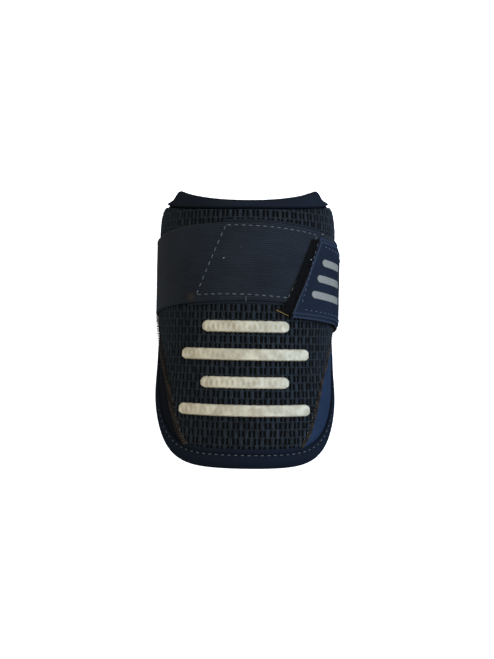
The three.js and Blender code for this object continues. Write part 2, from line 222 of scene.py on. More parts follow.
def face_out(mesh):
    work = bmesh.new()
    work.from_mesh(mesh)
    bmesh.ops.recalc_face_normals(work, faces=work.faces)
    work.to_mesh(mesh)
    work.free()


def wall(name, outer, inner, flat, finish):
    """A closed sheet. outer and inner are grids of rows, columns and XYZ, and flat the pattern's grid."""
    rows, columns = outer.shape[:2]
    index = np.arange(rows * columns).reshape(rows, columns)
    under = index + rows * columns
    faces = []
    for grid, flip in ((index, False), (under, True)):
        quads = np.stack([grid[:-1, :-1], grid[:-1, 1:], grid[1:, 1:], grid[1:, :-1]], -1).reshape(-1, 4)
        faces += (quads[:, ::-1] if flip else quads).tolist()
    rim = np.concatenate([index[0, :-1], index[:-1, -1], index[-1, :0:-1], index[:0:-1, 0]])
    rim_under = rim + rows * columns
    faces += np.stack([rim, rim_under, np.roll(rim_under, -1), np.roll(rim, -1)], -1).tolist()
    points = np.concatenate([outer.reshape(-1, 3), inner.reshape(-1, 3)])
    return add_piece(name, points, faces, np.concatenate([flat.reshape(-1, 2)] * 2), finish)


def roll(name, loops, flat, finish, closed):
    """A tube of loops, each a row of XYZ points. It meets itself when closed, and else gets two end caps."""
    count, size = loops.shape[:2]
    index = np.arange(count * size).reshape(count, size)
    ahead = np.roll(index, -1, axis=0) if closed else index[1:]
    here = index if closed else index[:-1]
    quads = np.stack([here, np.roll(here, -1, 1), np.roll(ahead, -1, 1), ahead], -1).reshape(-1, 4)
    faces = quads.tolist() + ([] if closed else [index[0, ::-1].tolist(), index[-1].tolist()])
    return add_piece(name, loops.reshape(-1, 3), faces, flat.reshape(-1, 2), finish)


def uneven(points, size, seed=0.0):
    """A smooth, fixed unevenness from -1 to 1 for rows of XYZ, with bumps about size millimetres across."""
    p = np.asarray(points, float) * (2 * math.pi / size)
    waves = [(0.9, 0.35, 0.2), (-0.4, 0.8, 0.45), (0.25, -0.6, 0.75), (0.7, 0.55, -0.5), (-0.65, 0.3, -0.7)]
    total = sum(np.sin(p @ np.array(w) * (1 + 0.23 * k) + seed * (k + 1) + 1.7 * k) for k, w in enumerate(waves))
    return total / len(waves)


print("mesh helpers ready")

# %% [markdown]
# ## Writing shader maths
# A finish is a small network of nodes. A wire wraps one socket, so that masks and heights can be written as sums, and
# one method makes any other node. Colours are given as the photograph shows them and turned into linear light.

# %% Shader helpers


class Wire:
    """One output of a finish's nodes. Sums on it add Math nodes."""

    def __init__(self, finish, socket):
        self.finish, self.socket = finish, socket

    def math(self, operation, *values):
        return self.finish.node("ShaderNodeMath", {"operation": operation}, values)

    def __add__(self, other):
        return self.math("ADD", self, other)

    def __sub__(self, other):
        return self.math("SUBTRACT", self, other)

    def __rsub__(self, other):
        return self.math("SUBTRACT", other, self)

    def __mul__(self, other):
        return self.math("MULTIPLY", self, other)

    __radd__ = __add__
    __rmul__ = __mul__

    def __truediv__(self, other):
        return self.math("DIVIDE", self, other)

    def __pow__(self, other):
        return self.math("POWER", self, other)

    def wave(self):
        """0 to 1 and back, once for each whole number."""
        return self.math("COSINE", self * (2 * math.pi)) * -0.5 + 0.5

    def step(self, start, end):
        """A soft step from 0 at start to 1 at end."""
        return self.finish.node("ShaderNodeMapRange", {"interpolation_type": "SMOOTHSTEP"},
                                {0: self, 1: start, 2: end, 3: 0.0, 4: 1.0})


class Finish:
    """A material with one Principled shader."""

    def __init__(self, name, **constants):
        self.material = bpy.data.materials.new(name)
        self.material.use_nodes = True
        self.nodes = self.material.node_tree.nodes
        self.links = self.material.node_tree.links
        self.shader = self.nodes["Principled BSDF"]
        for key, value in constants.items():
            self.shader.inputs[key.replace("_", " ")].default_value = value

    def node(self, kind, settings=None, values=(), output=0):
        made = self.nodes.new(kind)
        for key, value in (settings or {}).items():
            setattr(made, key, value)
        for key, value in (values.items() if isinstance(values, dict) else enumerate(values)):
            if isinstance(value, Wire):
                self.links.new(value.socket, made.inputs[key])
            else:
                made.inputs[key].default_value = value
        return Wire(self, made.outputs[output])

    def pattern(self):
        """The flat pattern's two lengths, in millimetres."""
        uv = self.node("ShaderNodeUVMap", {"uv_map": "pattern"})
        split = self.node("ShaderNodeSeparateXYZ", values=[uv])
        return split, Wire(self, split.socket.node.outputs[1])

    def place(self):
        """The place on the object, in millimetres, and its three parts."""
        where = self.node("ShaderNodeTexCoord", output=3)
        where = self.node("ShaderNodeVectorMath", {"operation": "SCALE"}, {0: where, 3: 1 / MM})
        split = self.node("ShaderNodeSeparateXYZ", values=[where])
        return where, split, Wire(self, split.socket.node.outputs[1]), Wire(self, split.socket.node.outputs[2])

    def noise(self, where, size, detail=2.0, stretch=(1, 1, 1)):
        """0 to 1, with spots about size millimetres across."""
        scaled = self.node("ShaderNodeVectorMath", {"operation": "MULTIPLY"},
                           [where, tuple(s / size for s in stretch)])
        return self.node("ShaderNodeTexNoise", values={"Vector": scaled, "Scale": 1.0, "Detail": detail})

    def flecks(self, where, size):
        """Distance to the nearest of many scattered points, as a share of size."""
        scaled = self.node("ShaderNodeVectorMath", {"operation": "SCALE"}, {0: where, 3: 1 / size})
        return self.node("ShaderNodeTexVoronoi", values={"Vector": scaled, "Scale": 1.0})

    def blend(self, share, first, second):
        return self.node("ShaderNodeMix", {"data_type": "RGBA"}, {0: share, 6: first, 7: second}, output=2)

    def dress(self, colour=None, roughness=None, height=None, depth=0.1):
        """Links what changes over the surface. height is in shares of depth, which is in millimetres."""
        for key, value in (("Base Color", colour), ("Roughness", roughness)):
            if isinstance(value, Wire):
                self.links.new(value.socket, self.shader.inputs[key])
            elif value is not None:
                self.shader.inputs[key].default_value = value
        if height is not None:
            bump = self.node("ShaderNodeBump", values={"Height": height, "Distance": depth * MM})
            self.links.new(bump.socket, self.shader.inputs["Normal"])
        return self.material


def tone(red, green, blue, lift=1.0):
    """A colour as the photograph shows it, 0 to 255, in linear light."""
    def linear(value):
        value /= 255
        return value / 12.92 if value <= 0.04045 else ((value + 0.055) / 1.055) ** 2.4
    return (*(lift * linear(v) for v in (red, green, blue)), 1.0)


print("shader helpers ready")

# %% [markdown]
# ## Camera, floor and light
# The photograph looks straight down on the guard from a little over half a metre. The background is blown out to
# white, so the floor is pale and strongly lit. The light is soft and comes mostly from above, with a cooler window
# on the right that turns the black cloth navy on that side.

# %% Stage
scene = bpy.context.scene
scene.view_settings.view_transform = "Standard"
scene.view_settings.look = "None"
eye = bpy.data.cameras.new("camera")
eye.sensor_width = 36.0
eye.lens = 48.13
camera = bpy.data.objects.new("camera", eye)
camera.location = (0.0, -0.0012, 0.580)
camera.rotation_euler = (0.0, 0.0, math.radians(1.1))
scene.collection.objects.link(camera)
scene.camera = camera


def add_light(name, where, towards, size, power, colour):
    lamp = bpy.data.lights.new(name, "AREA")
    lamp.shape, lamp.size, lamp.energy, lamp.color = "DISK", size, power, colour
    light = bpy.data.objects.new(name, lamp)
    light.location = where
    aim = np.array(where) - np.array(towards)
    light.rotation_euler = (math.atan2(math.hypot(aim[0], aim[1]), aim[2]), 0, math.atan2(aim[0], -aim[1]))
    scene.collection.objects.link(light)


add_light("overhead", (0.05, 0.25, 1.1), (0, 0, 0.03), 0.9, 7.0, (1.0, 0.98, 0.95))
add_light("window", (1.0, 0.05, 0.55), (0, 0, 0.04), 0.7, 13.0, (0.44, 0.66, 1.0))
add_light("room", (-0.9, -0.35, 0.7), (0, 0, 0.04), 0.8, 0.8, (1.0, 0.93, 0.82))
world = bpy.data.worlds.new("room")
world.use_nodes = True
world.node_tree.nodes["Background"].inputs[0].default_value = (0.9, 0.95, 1.0, 1.0)
world.node_tree.nodes["Background"].inputs[1].default_value = 0.27
scene.world = world

floor_finish = Finish("pale_floor", Roughness=0.9)
floor_where = floor_finish.place()[0]
floor_shade = floor_finish.noise(floor_where, 90.0)
floor_finish.shader.inputs["Emission Color"].default_value = (1.0, 1.0, 1.0, 1.0)
floor_finish.shader.inputs["Emission Strength"].default_value = 0.9
floor_finish.dress(floor_finish.blend(floor_shade, (0.86, 0.86, 0.87, 1), (0.9, 0.9, 0.9, 1)))
disc = bmesh.new()
bmesh.ops.create_circle(disc, cap_ends=True, segments=96, radius=4.0)
floor_mesh = bpy.data.meshes.new("floor")
disc.to_mesh(floor_mesh)
disc.free()
floor_mesh.materials.append(floor_finish.material)
floor = bpy.data.objects.new("floor", floor_mesh)
scene.collection.objects.link(floor)
# The guard was photographed on something dark, so the pale floor throws no light back on it
floor.visible_diffuse = floor.visible_glossy = False
print("stage ready")

# %% [markdown]
# ## Fabric finishes
# All the cloth is nearly black, and differs in its surface: the hem and side panels are smooth knit with a faint rib,
# the net is round yarn, the elastic has a rib along its length, and the hook patch is a matt fuzz.

# %% Smooth knits


def knit(name, dark, light, rib=0.0, painted_rim_tone=(56, 64, 78), sheen=0.0, roughness=0.88):
    """Smooth stretch cloth: fine loops, faint ribs, slow changes of tone and a few pale specks of lint."""
    cloth = Finish(name, Sheen_Weight=sheen, Sheen_Roughness=0.45, Specular_IOR_Level=0.1)
    u, v = cloth.pattern()
    where = cloth.place()[0]
    clouds = cloth.noise(where, 22.0, 3.0)
    grain = cloth.noise(where, 0.7, 2.0)
    ribs = (u * (1 / 1.15) + grain * 0.12).wave()
    loops = (u * (1 / 0.55)).wave() * (v * (1 / 0.45)).wave()
    lint = 1.0 - cloth.flecks(where, 7.0).step(0.012, 0.045)
    shade = (clouds - 0.5) * 0.6 + (grain - 0.5) * 0.5 + ribs * rib + loops * 0.12 + 0.5
    colour = cloth.blend(shade.step(0.0, 1.0), dark, light)
    colour = cloth.blend(lint * 0.35, colour, tone(120, 120, 118))
    # Along marked seams and edges a tone is painted in: near black as painted seam shade, pale as a painted highlight
    # with wear
    rim = cloth.node("ShaderNodeAttribute", {"attribute_name": "rim"}, output=2)
    colour = cloth.blend(rim * (0.45 + grain * 0.5), colour, tone(*painted_rim_tone))
    return cloth.dress(colour, grain * 0.12 + (roughness - 0.06), loops * 0.5 + ribs * rib + grain * 0.4, 0.12)


# Near black painted shade for the seams, the grooves and the line under the collar
PAINTED_SEAM_SHADE = (2, 3, 4)
hem_cloth = knit("hem_knit", tone(8, 11, 15), tone(18, 25, 36), rib=0.35, painted_rim_tone=PAINTED_SEAM_SHADE)
lining_cloth = knit("lining_knit", tone(12, 14, 18), tone(24, 28, 34))
collar_cloth = knit("collar_knit", tone(15, 19, 25), tone(28, 34, 43), painted_rim_tone=PAINTED_SEAM_SHADE)
# The side panels are one cloth: the left copy is darker as painted shade, the right lighter and bluer as painted light
side_cloth_painted_light_and_shade = {
    "left": knit("side_knit_left", tone(7, 10, 14), tone(16, 21, 29), painted_rim_tone=PAINTED_SEAM_SHADE),
    "right": knit("side_knit_right", tone(19, 29, 42), tone(35, 51, 74), painted_rim_tone=PAINTED_SEAM_SHADE, roughness=0.7)}
# The backing and the tab are paler along their rounded edges: a painted highlight together with wear
backing_cloth = knit("backing_knit", tone(10, 12, 14), tone(22, 25, 29), painted_rim_tone=(36, 41, 48))
tab_cloth = knit("tab_knit", tone(17, 22, 30), tone(29, 37, 50), painted_rim_tone=(52, 60, 74))
print("knits ready")

# %% Yarn, elastic and fuzz


def yarn(name, dark, light, pitch=0.45, roughness=0.8):
    """Twisted thread, seen close."""
    thread = Finish(name, Sheen_Weight=0.03, Specular_IOR_Level=0.15)
    where, x, y, z = thread.place()
    twist = ((x + y * 0.8 + z) * (1 / pitch)).wave()
    grain = thread.noise(where, 1.6, 3.0)
    colour = thread.blend((twist * 0.5 + grain * 0.7 - 0.15).step(0.0, 1.0), dark, light)
    return thread.dress(colour, roughness, twist, 0.1)


def net_yarn():
    """The net's yarn, with painted shade that turns it black down in its holes."""
    thread = Finish("net_yarn", Sheen_Weight=0.03, Specular_IOR_Level=0.2)
    where, x, y, z = thread.place()
    u, v = thread.pattern()
    hollow = thread.node("ShaderNodeAttribute", {"attribute_name": "hollow"}, output=2)
    grain = thread.noise(where, 0.9, 3.0)
    twist = ((v + u * 0.6) * (1 / 0.62)).wave()
    clouds = thread.noise(where, 30.0, 2.0)
    streaks = thread.noise(where, 1.5, 2.0, stretch=(1, 0.3, 1))
    shade = grain * 0.35 + twist * 0.25 + clouds * 0.4 + (streaks - 0.5) * 1.5 + 0.0
    colour = thread.blend(shade.step(0.0, 1.0), tone(11, 14, 17), tone(40, 48, 54))
    # Painted shade: near black down in the slits, a little darker at the row edges
    colour = thread.blend(hollow.step(0.1, 0.6), colour, tone(1, 3, 5))
    dust = 1.0 - thread.flecks(where, 11.0).step(0.02, 0.05)
    colour = thread.blend(dust * (1.0 - hollow) * 0.6, colour, tone(130, 130, 122))
    return thread.dress(colour, 0.88, twist * 0.5 + grain * 0.5, 0.16)


def elastic_weave():
    """Ribbed webbing: cords along its length, crossed by fine threads."""
    weave = Finish("elastic_weave", Sheen_Weight=0.04, Specular_IOR_Level=0.15)
    u, v = weave.pattern()
    where = weave.place()[0]
    clouds = weave.noise(where, 26.0, 3.0)
    streaks = weave.noise(where, 3.0, 3.0, stretch=(0.25, 1, 0.25))
    ribs = (v * (1 / 1.05)).wave()
    picks = (u * (1 / 0.42)).wave()
    lint = 1.0 - weave.flecks(where, 9.0).step(0.01, 0.04)
    shade = ribs * 0.6 + picks * 0.2 + (clouds - 0.5) * 0.7 + (streaks - 0.5) * 0.4 + 0.1
    colour = weave.blend(shade.step(0.0, 1.0), tone(12, 15, 18), tone(36, 42, 49))
    stain = ((u + 30.3) * (u + 30.3) + (v + 19.7) * (v + 19.7)).step(9.0, 1.0) * clouds
    colour = weave.blend(stain * 0.7, colour, tone(70, 55, 38))
    colour = weave.blend(lint * 0.4, colour, tone(120, 120, 116))
    return weave.dress(colour, 0.86, picks * 0.4 + ribs * 0.6, 0.16)


def fuzz_black():
    """Hook patch: matt black, with the grain of its many small hooks."""
    fuzz = Finish("hook_fuzz", Sheen_Weight=0.02, Specular_IOR_Level=0.1)
    where = fuzz.place()[0]
    grain = fuzz.noise(where, 0.5, 3.0)
    colour = fuzz.blend(grain, tone(2, 2, 3), tone(12, 12, 13))
    return fuzz.dress(colour, 0.95, grain, 0.3)


net_cloth = net_yarn()
elastic_cloth = elastic_weave()
fuzz_cloth = fuzz_black()
stitch_pale = yarn("stitch_pale", tone(60, 64, 68), tone(116, 120, 121))
stitch_navy = yarn("stitch_navy", tone(52, 62, 78), tone(92, 104, 122))
raw_edge = yarn("raw_edge", tone(24, 24, 24), tone(70, 67, 64))
black_loop = yarn("black_loop", tone(3, 3, 3), tone(26, 25, 24))
stitch_tan = yarn("stitch_tan", tone(15, 13, 12), tone(84, 68, 50), 5.0)
thread_yellow = yarn("thread_yellow", tone(150, 120, 66), tone(188, 158, 96))
lint_white = yarn("lint_white", tone(140, 144, 138), tone(182, 186, 178))
edge_cloth = yarn("edge_yarn", tone(7, 7, 7), tone(34, 28, 23), 4.3)
print("threads ready")


def moulded_rubber():
    """Off-white moulded rubber, pressed on the net: lumpy, matt, a little yellowed and dirty along its lower edges."""
    rubber = Finish("moulded_rubber", Specular_IOR_Level=0.35)
    where = rubber.place()[0]
    u, v = rubber.pattern()
    clouds = rubber.noise(where, 5.0, 3.0)
    grain = rubber.noise(where, 0.8, 3.0)
    edge = rubber.node("ShaderNodeAttribute", {"attribute_name": "rim"}, output=2)
    dirt = (edge * 1.1 + (grain - 0.5) * 0.8 + (clouds - 0.5) * 0.9).step(0.4, 1.1)
    colour = rubber.blend(clouds.step(0.3, 0.75), tone(174, 163, 137), tone(208, 199, 172))
    colour = rubber.blend(dirt * 0.75, colour, tone(104, 86, 58))
    return rubber.dress(colour, 0.62, clouds * 0.6 + grain * 0.4, 0.5)


def printed_rubber():
    """Thin pale grey rubber on the tab."""
    rubber = Finish("printed_rubber", Specular_IOR_Level=0.35)
    where = rubber.place()[0]
    grain = rubber.noise(where, 0.9, 3.0)
    clouds = rubber.noise(where, 6.0, 2.0)
    colour = rubber.blend(clouds * 0.6 + grain * 0.3, tone(108, 104, 94), tone(150, 145, 133))
    return rubber.dress(colour, 0.6, grain, 0.08)


rubber_cloth = moulded_rubber()
print_cloth = printed_rubber()
print("rubber ready")

# %% [markdown]
# ## The lining pad
# The real pad is foam in stretch cloth, sewn through along two lines so that it hinges round the arm. It could be
# sculpted, but a cloth simulation gives the softness for nothing: the seams are held, air pressure lifts the rest.

# %% Swelling a padded piece


def swell(piece, held, cap, pressure, enlarge=5.0):
    """Cloth simulation with pressure, held at the given points, applied to the mesh. No point moves past cap."""
    mesh = piece.data
    before = np.empty(len(mesh.vertices) * 3)
    mesh.vertices.foreach_get("co", before)
    before = before.reshape(-1, 3)
    mesh.vertices.foreach_set("co", (before * enlarge).ravel())
    piece.vertex_groups.new(name="held").add(np.flatnonzero(held).tolist(), 1.0, "REPLACE")
    cloth = piece.modifiers.new("swell", "CLOTH")
    cloth.settings.quality = 6
    cloth.settings.use_pressure = True
    cloth.settings.uniform_pressure_force = pressure
    cloth.settings.effector_weights.gravity = 0.0
    cloth.settings.vertex_group_mass = "held"
    cloth.settings.tension_stiffness = 12.0
    cloth.settings.compression_stiffness = 8.0
    cloth.collision_settings.use_collision = False
    cloth.collision_settings.use_self_collision = False
    cloth.point_cache.frame_start = 1
    cloth.point_cache.frame_end = 20
    for step in range(1, 21):
        scene.frame_set(step)
    after = np.empty(len(mesh.vertices) * 3)
    piece.evaluated_get(bpy.context.evaluated_depsgraph_get()).data.vertices.foreach_get("co", after)
    after = after.reshape(-1, 3) / enlarge
    piece.modifiers.remove(cloth)
    piece.vertex_groups.clear()
    scene.frame_set(1)
    move = after - before
    length = np.linalg.norm(move, axis=1, keepdims=True)
    move = np.where(np.isfinite(move), move, 0) * np.minimum(1, cap * MM / np.maximum(length, 1e-9))
    mesh.vertices.foreach_set("co", (before + move).ravel())
    mesh.update()
    print(piece.name, "swells by up to", round(float(np.linalg.norm(move, axis=1).max()) / MM, 2), "mm")


def subdivide(piece, levels=1):
    """One round of subdivision, applied."""
    modifier = piece.modifiers.new("smooth", "SUBSURF")
    modifier.levels = modifier.render_levels = levels
    made = bpy.data.meshes.new_from_object(piece.evaluated_get(bpy.context.evaluated_depsgraph_get()))
    piece.modifiers.remove(modifier)
    old, piece.data = piece.data, made
    made.name = piece.name
    bpy.data.meshes.remove(old)


# %% Lining
QUILT_ARC = 31.0
across, along = np.meshgrid(np.linspace(-1, 1, 49), np.linspace(0, 1, 41))
arc = (span_of(INSIDE_HEM) + TUCK) * np.sin(across * math.pi / 2)
y = mix(low_edge(arc, INSIDE_HEM) - TUCK, high_edge(arc, INSIDE_HEM) + TUCK / 2, along)
flat = np.stack([arc, y], -1)
seam = np.exp(-((np.abs(arc) - QUILT_ARC) / 1.6) ** 2)
rim = np.minimum(1 - np.abs(across), np.minimum(along, 1 - along) * 2)
inner = on_skin(arc, y, -PAD_THICKNESS + 0.6 + 2.2 * seam - 0.8 * ease(0, 0.1, rim))
lining = wall("lining_pad", on_skin(arc, y, 0.0), inner, flat, lining_cloth)
face = np.zeros(arc.size, bool)
swells = ((seam < 0.3) & (rim > 0.02)).ravel()
swell(lining, np.concatenate([~face, ~swells]), cap=1.6, pressure=3.0)
subdivide(lining)
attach(lining, "root")
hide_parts("liner_pad")
print("lining", len(lining.data.polygons), "faces")

# %% [markdown]
# ## The hem roll
# The hem is a strip of stretch cloth, sewn face down along the cover and turned over a soft cord of foam. That leaves
# a small lip, a stitched groove and a full roll. Its section is drawn once and carried round the pattern's outline,
# and the simulation lets the cloth belly out between the stitches.

# %% Hem outline
SIDE_STEPS, EDGE_STEPS = 44, 170
HORN_NOTCH = 4.4
ease_out = np.sin(np.linspace(-1, 1, EDGE_STEPS, endpoint=False) * math.pi / 2)
up = np.linspace(0, 1, SIDE_STEPS, endpoint=False)


def hem_line(inset):
    """The closed outline at one inset: arc lengths, Y, and how far each point lies on the flat upper edge."""
    span = span_of(inset)
    low, high = ease_out * span, -ease_out * span
    arcs = np.concatenate([low, np.full(SIDE_STEPS, span), high, np.full(SIDE_STEPS, -span)])
    ys = np.concatenate([low_edge(low, inset), mix(WING_LOW, WING_HIGH, up), high_edge(high, inset),
                         mix(WING_HIGH, WING_LOW, up)])
    level = np.concatenate([np.zeros(EDGE_STEPS + SIDE_STEPS), 1 - ease(0.75, 1, np.abs(ease_out)),
                            np.zeros(SIDE_STEPS)])
    beside_horn = level * ease(49, 54, np.abs(arcs)) * (1 - ease(70, 86, np.abs(arcs)))
    return arcs, ys - HORN_NOTCH * (1 - min(inset, 1)) * beside_horn, level


def line_length(points):
    """Length along a closed line of points, from its first point."""
    steps = np.linalg.norm(np.roll(points, -1, axis=0) - points, axis=1)
    return np.concatenate([[0], np.cumsum(steps)[:-1]])


# Section of the hem: inset from 1 at the cover to 0 at the outer edge, and height above the skin
HEM_SECTION = np.array([
    (1.02, -3.0), (1.02, 0.3), (1.00, 1.5), (0.965, 2.15), (0.92, 2.4), (0.875, 2.2), (0.835, 1.65), (0.80, 1.25),
    (0.765, 1.5), (0.71, 2.05), (0.64, 2.45), (0.54, 2.6), (0.44, 2.45), (0.34, 2.0), (0.24, 1.35), (0.15, 0.45),
    (0.08, -0.7), (0.03, -2.0), (0.0, -3.4), (0.015, -4.9), (0.06, -6.3), (0.14, -7.4), (0.27, -8.1), (0.45, -8.35),
    (0.65, -8.3), (0.82, -8.2), (0.95, -7.9), (1.02, -7.0), (1.02, -5.0)])
# Below the net the lip lies over the net's edge: the same points of the section, by their number
HEM_LIP = {2: (1.02, 2.75), 3: (1.14, 2.8), 4: (1.15, 3.2), 5: (1.04, 3.35), 6: (0.9, 2.6), 7: (0.81, 1.5)}
HEM_HELD = [0, 1, 2, 7, 26, 27, 28]
# How much painted shade darkens the seams at points of the section: the edge at the cover and the stitched groove
HEM_SEAM_SHADE = {1: 1.0, 2: 0.9, 7: 0.6}
hem_arc, hem_y, hem_level = hem_line(0.5)
hem_run = line_length(on_skin(hem_arc, hem_y, 0))
at_net = (hem_y < WING_LOW) * (1 - ease(net_side(0.0), net_side(0.0) + 5, np.abs(hem_arc)))
loops, flats = [], []
for number, (inset, height) in enumerate(HEM_SECTION):
    lip_inset, lip_height = HEM_LIP.get(number, (inset, height))
    (arcs, ys, level), (lip_arcs, lip_ys, _) = hem_line(inset), hem_line(lip_inset)
    arcs, ys = mix(arcs, lip_arcs, at_net), mix(ys, lip_ys, at_net)
    plain = 0.6 * math.sin(math.pi * np.clip(inset, 0, 1)) - 0.4 if height > -3 else height
    pucker = 0.18 * np.cos(2 * math.pi * hem_run / 4.0) * (abs(inset - 0.8) < 0.06)
    lift = mix(mix(height, lip_height, at_net) + pucker, min(height, plain), level)
    loops.append(on_skin(arcs, ys, lift))
    flats.append(np.stack([hem_run, np.full(len(hem_run), -HEM_WIDTH * inset + (height if height < 0 else 0))], -1))
hem = roll("hem_fabric_roll", np.stack(loops, 1), np.stack(flats, 1), hem_cloth, closed=True)
# Painted shade in the seam at the cover's edge and in the stitched groove
seams = np.zeros((len(hem_run), len(HEM_SECTION)))
seams[:, list(HEM_SEAM_SHADE)] = list(HEM_SEAM_SHADE.values())
hem.data.attributes.new("rim", "FLOAT", "POINT").data.foreach_set("value", seams.ravel())
held = np.zeros((len(hem_run), len(HEM_SECTION)), bool)
held[:, HEM_HELD] = True
held[hem_level > 0.02, :] = True
swell(hem, held.ravel(), cap=0.7, pressure=3.0)
subdivide(hem)
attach(hem, "root")
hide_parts("hem_roll")
print("hem", len(hem.data.polygons), "faces,", round(hem_run[-1]), "mm round")

# %% [markdown]
# ## The net
# The cover is a spacer knit: fat and thin wales take turns, row by row, and leave a pair of upright slits in every
# cell. One cell is modelled with both slits sunk into it. Geometry Nodes lay it out in staggered rows as flat cloth,
# and the flat cloth is then cut to the pattern and bent over the skin, as the real one was.

# %% One cell of the net
CELL_WIDTH, CELL_HEIGHT, SLIT_DEPTH = 5.5, 4.6, 1.5


def net_cell():
    """A cell as a small mesh in metres. How deep each point lies is kept as an attribute that paints shade into the
    slits.
    """
    left = [-2.75, -2.25, -1.85, -1.68, -0.56, -0.4, 0.0]
    stations = np.array(left + [-x for x in reversed(left[:-1])])
    seam_share = np.array([0, 0.28, 0.36, 0.46, 0.54, 0.64])
    border = np.concatenate([-2.75 + 2.75 * seam_share, 2.75 * seam_share, [2.75]])
    rows = np.array([-2.3, -2.0, -1.72, 0.0, 1.72, 2.0, 2.3])
    squeeze = np.array([0, 0.55, 1, 1, 1, 0.55, 0])
    sunk = np.array([0, 0.12, 1, 1, 1, 0.12, 0])
    depth = np.array([0.2, 0, 0.22, 1, 1, 0.22, 0, 0.22, 1, 1, 0.22, 0, 0.2])
    crown = np.array([0.5, 0, 0.4, 0.8, 0.8, 0.4, 0.05, 0.4, 0.8, 0.8, 0.4, 0, 0.5])
    points, hollow = [], []
    for row, y in enumerate(rows):
        x = mix(border, stations, squeeze[row])
        slit = np.where(depth > 0.5, sunk[row], squeeze[row] * depth)
        z = -slit * SLIT_DEPTH - 0.35 * crown * squeeze[row] * (1 - slit) - 0.12 * (1 - squeeze[row])
        points.append(np.stack([x, np.full(13, y), z], -1))
        # How much painted shade each point gets: full in the slits, a little at the row edges
        hollow.append(np.clip(slit * 1.25 + 0.26 * (1 - squeeze[row]), 0, 1))
    index = np.arange(7 * 13).reshape(7, 13)
    faces = np.stack([index[:-1, :-1], index[:-1, 1:], index[1:, 1:], index[1:, :-1]], -1).reshape(-1, 4)
    mesh = bpy.data.meshes.new("net_cell")
    mesh.from_pydata((np.concatenate(points) * MM).tolist(), [], faces.tolist())
    mesh.attributes.new("hollow", "FLOAT", "POINT").data.foreach_set("value", np.concatenate(hollow))
    cell = bpy.data.objects.new("net_cell", mesh)
    scene.collection.objects.link(cell)
    return cell


# %% Rows of cells by Geometry Nodes


def node_group(name, inputs):
    """An empty Geometry Nodes tree with its named inputs. Returns the tree and its two end nodes."""
    tree = bpy.data.node_groups.new(name, "GeometryNodeTree")
    tree.interface.new_socket("Geometry", in_out="INPUT", socket_type="NodeSocketGeometry")
    for title, kind, value in inputs:
        made = tree.interface.new_socket(title, in_out="INPUT", socket_type="NodeSocket" + kind)
        if value is not None:
            made.default_value = value
    tree.interface.new_socket("Geometry", in_out="OUTPUT", socket_type="NodeSocketGeometry")
    return tree, tree.nodes.new("NodeGroupInput"), tree.nodes.new("NodeGroupOutput")


def join(tree, kind, sources, settings=None, **constants):
    """Adds a node to a tree and links its sockets: sources are (input, node, output)."""
    made = tree.nodes.new(kind)
    for key, value in (settings or {}).items():
        setattr(made, key, value)
    for key, value in constants.items():
        made.inputs[key.replace("_", " ")].default_value = value
    for target, node, output in sources:
        tree.links.new(node.outputs[output], made.inputs[target])
    return made


def apply_nodes(piece, tree, values):
    """Runs a tree on an object and keeps the result as its plain mesh."""
    modifier = piece.modifiers.new(tree.name, "NODES")
    modifier.node_group = tree
    for item in tree.interface.items_tree:
        if item.in_out == "INPUT" and item.name in values:
            modifier[item.identifier] = values[item.name]
    bpy.context.view_layer.update()
    made = bpy.data.meshes.new_from_object(piece.evaluated_get(bpy.context.evaluated_depsgraph_get()))
    piece.modifiers.remove(modifier)
    old, piece.data = piece.data, made
    bpy.data.meshes.remove(old)
    return piece


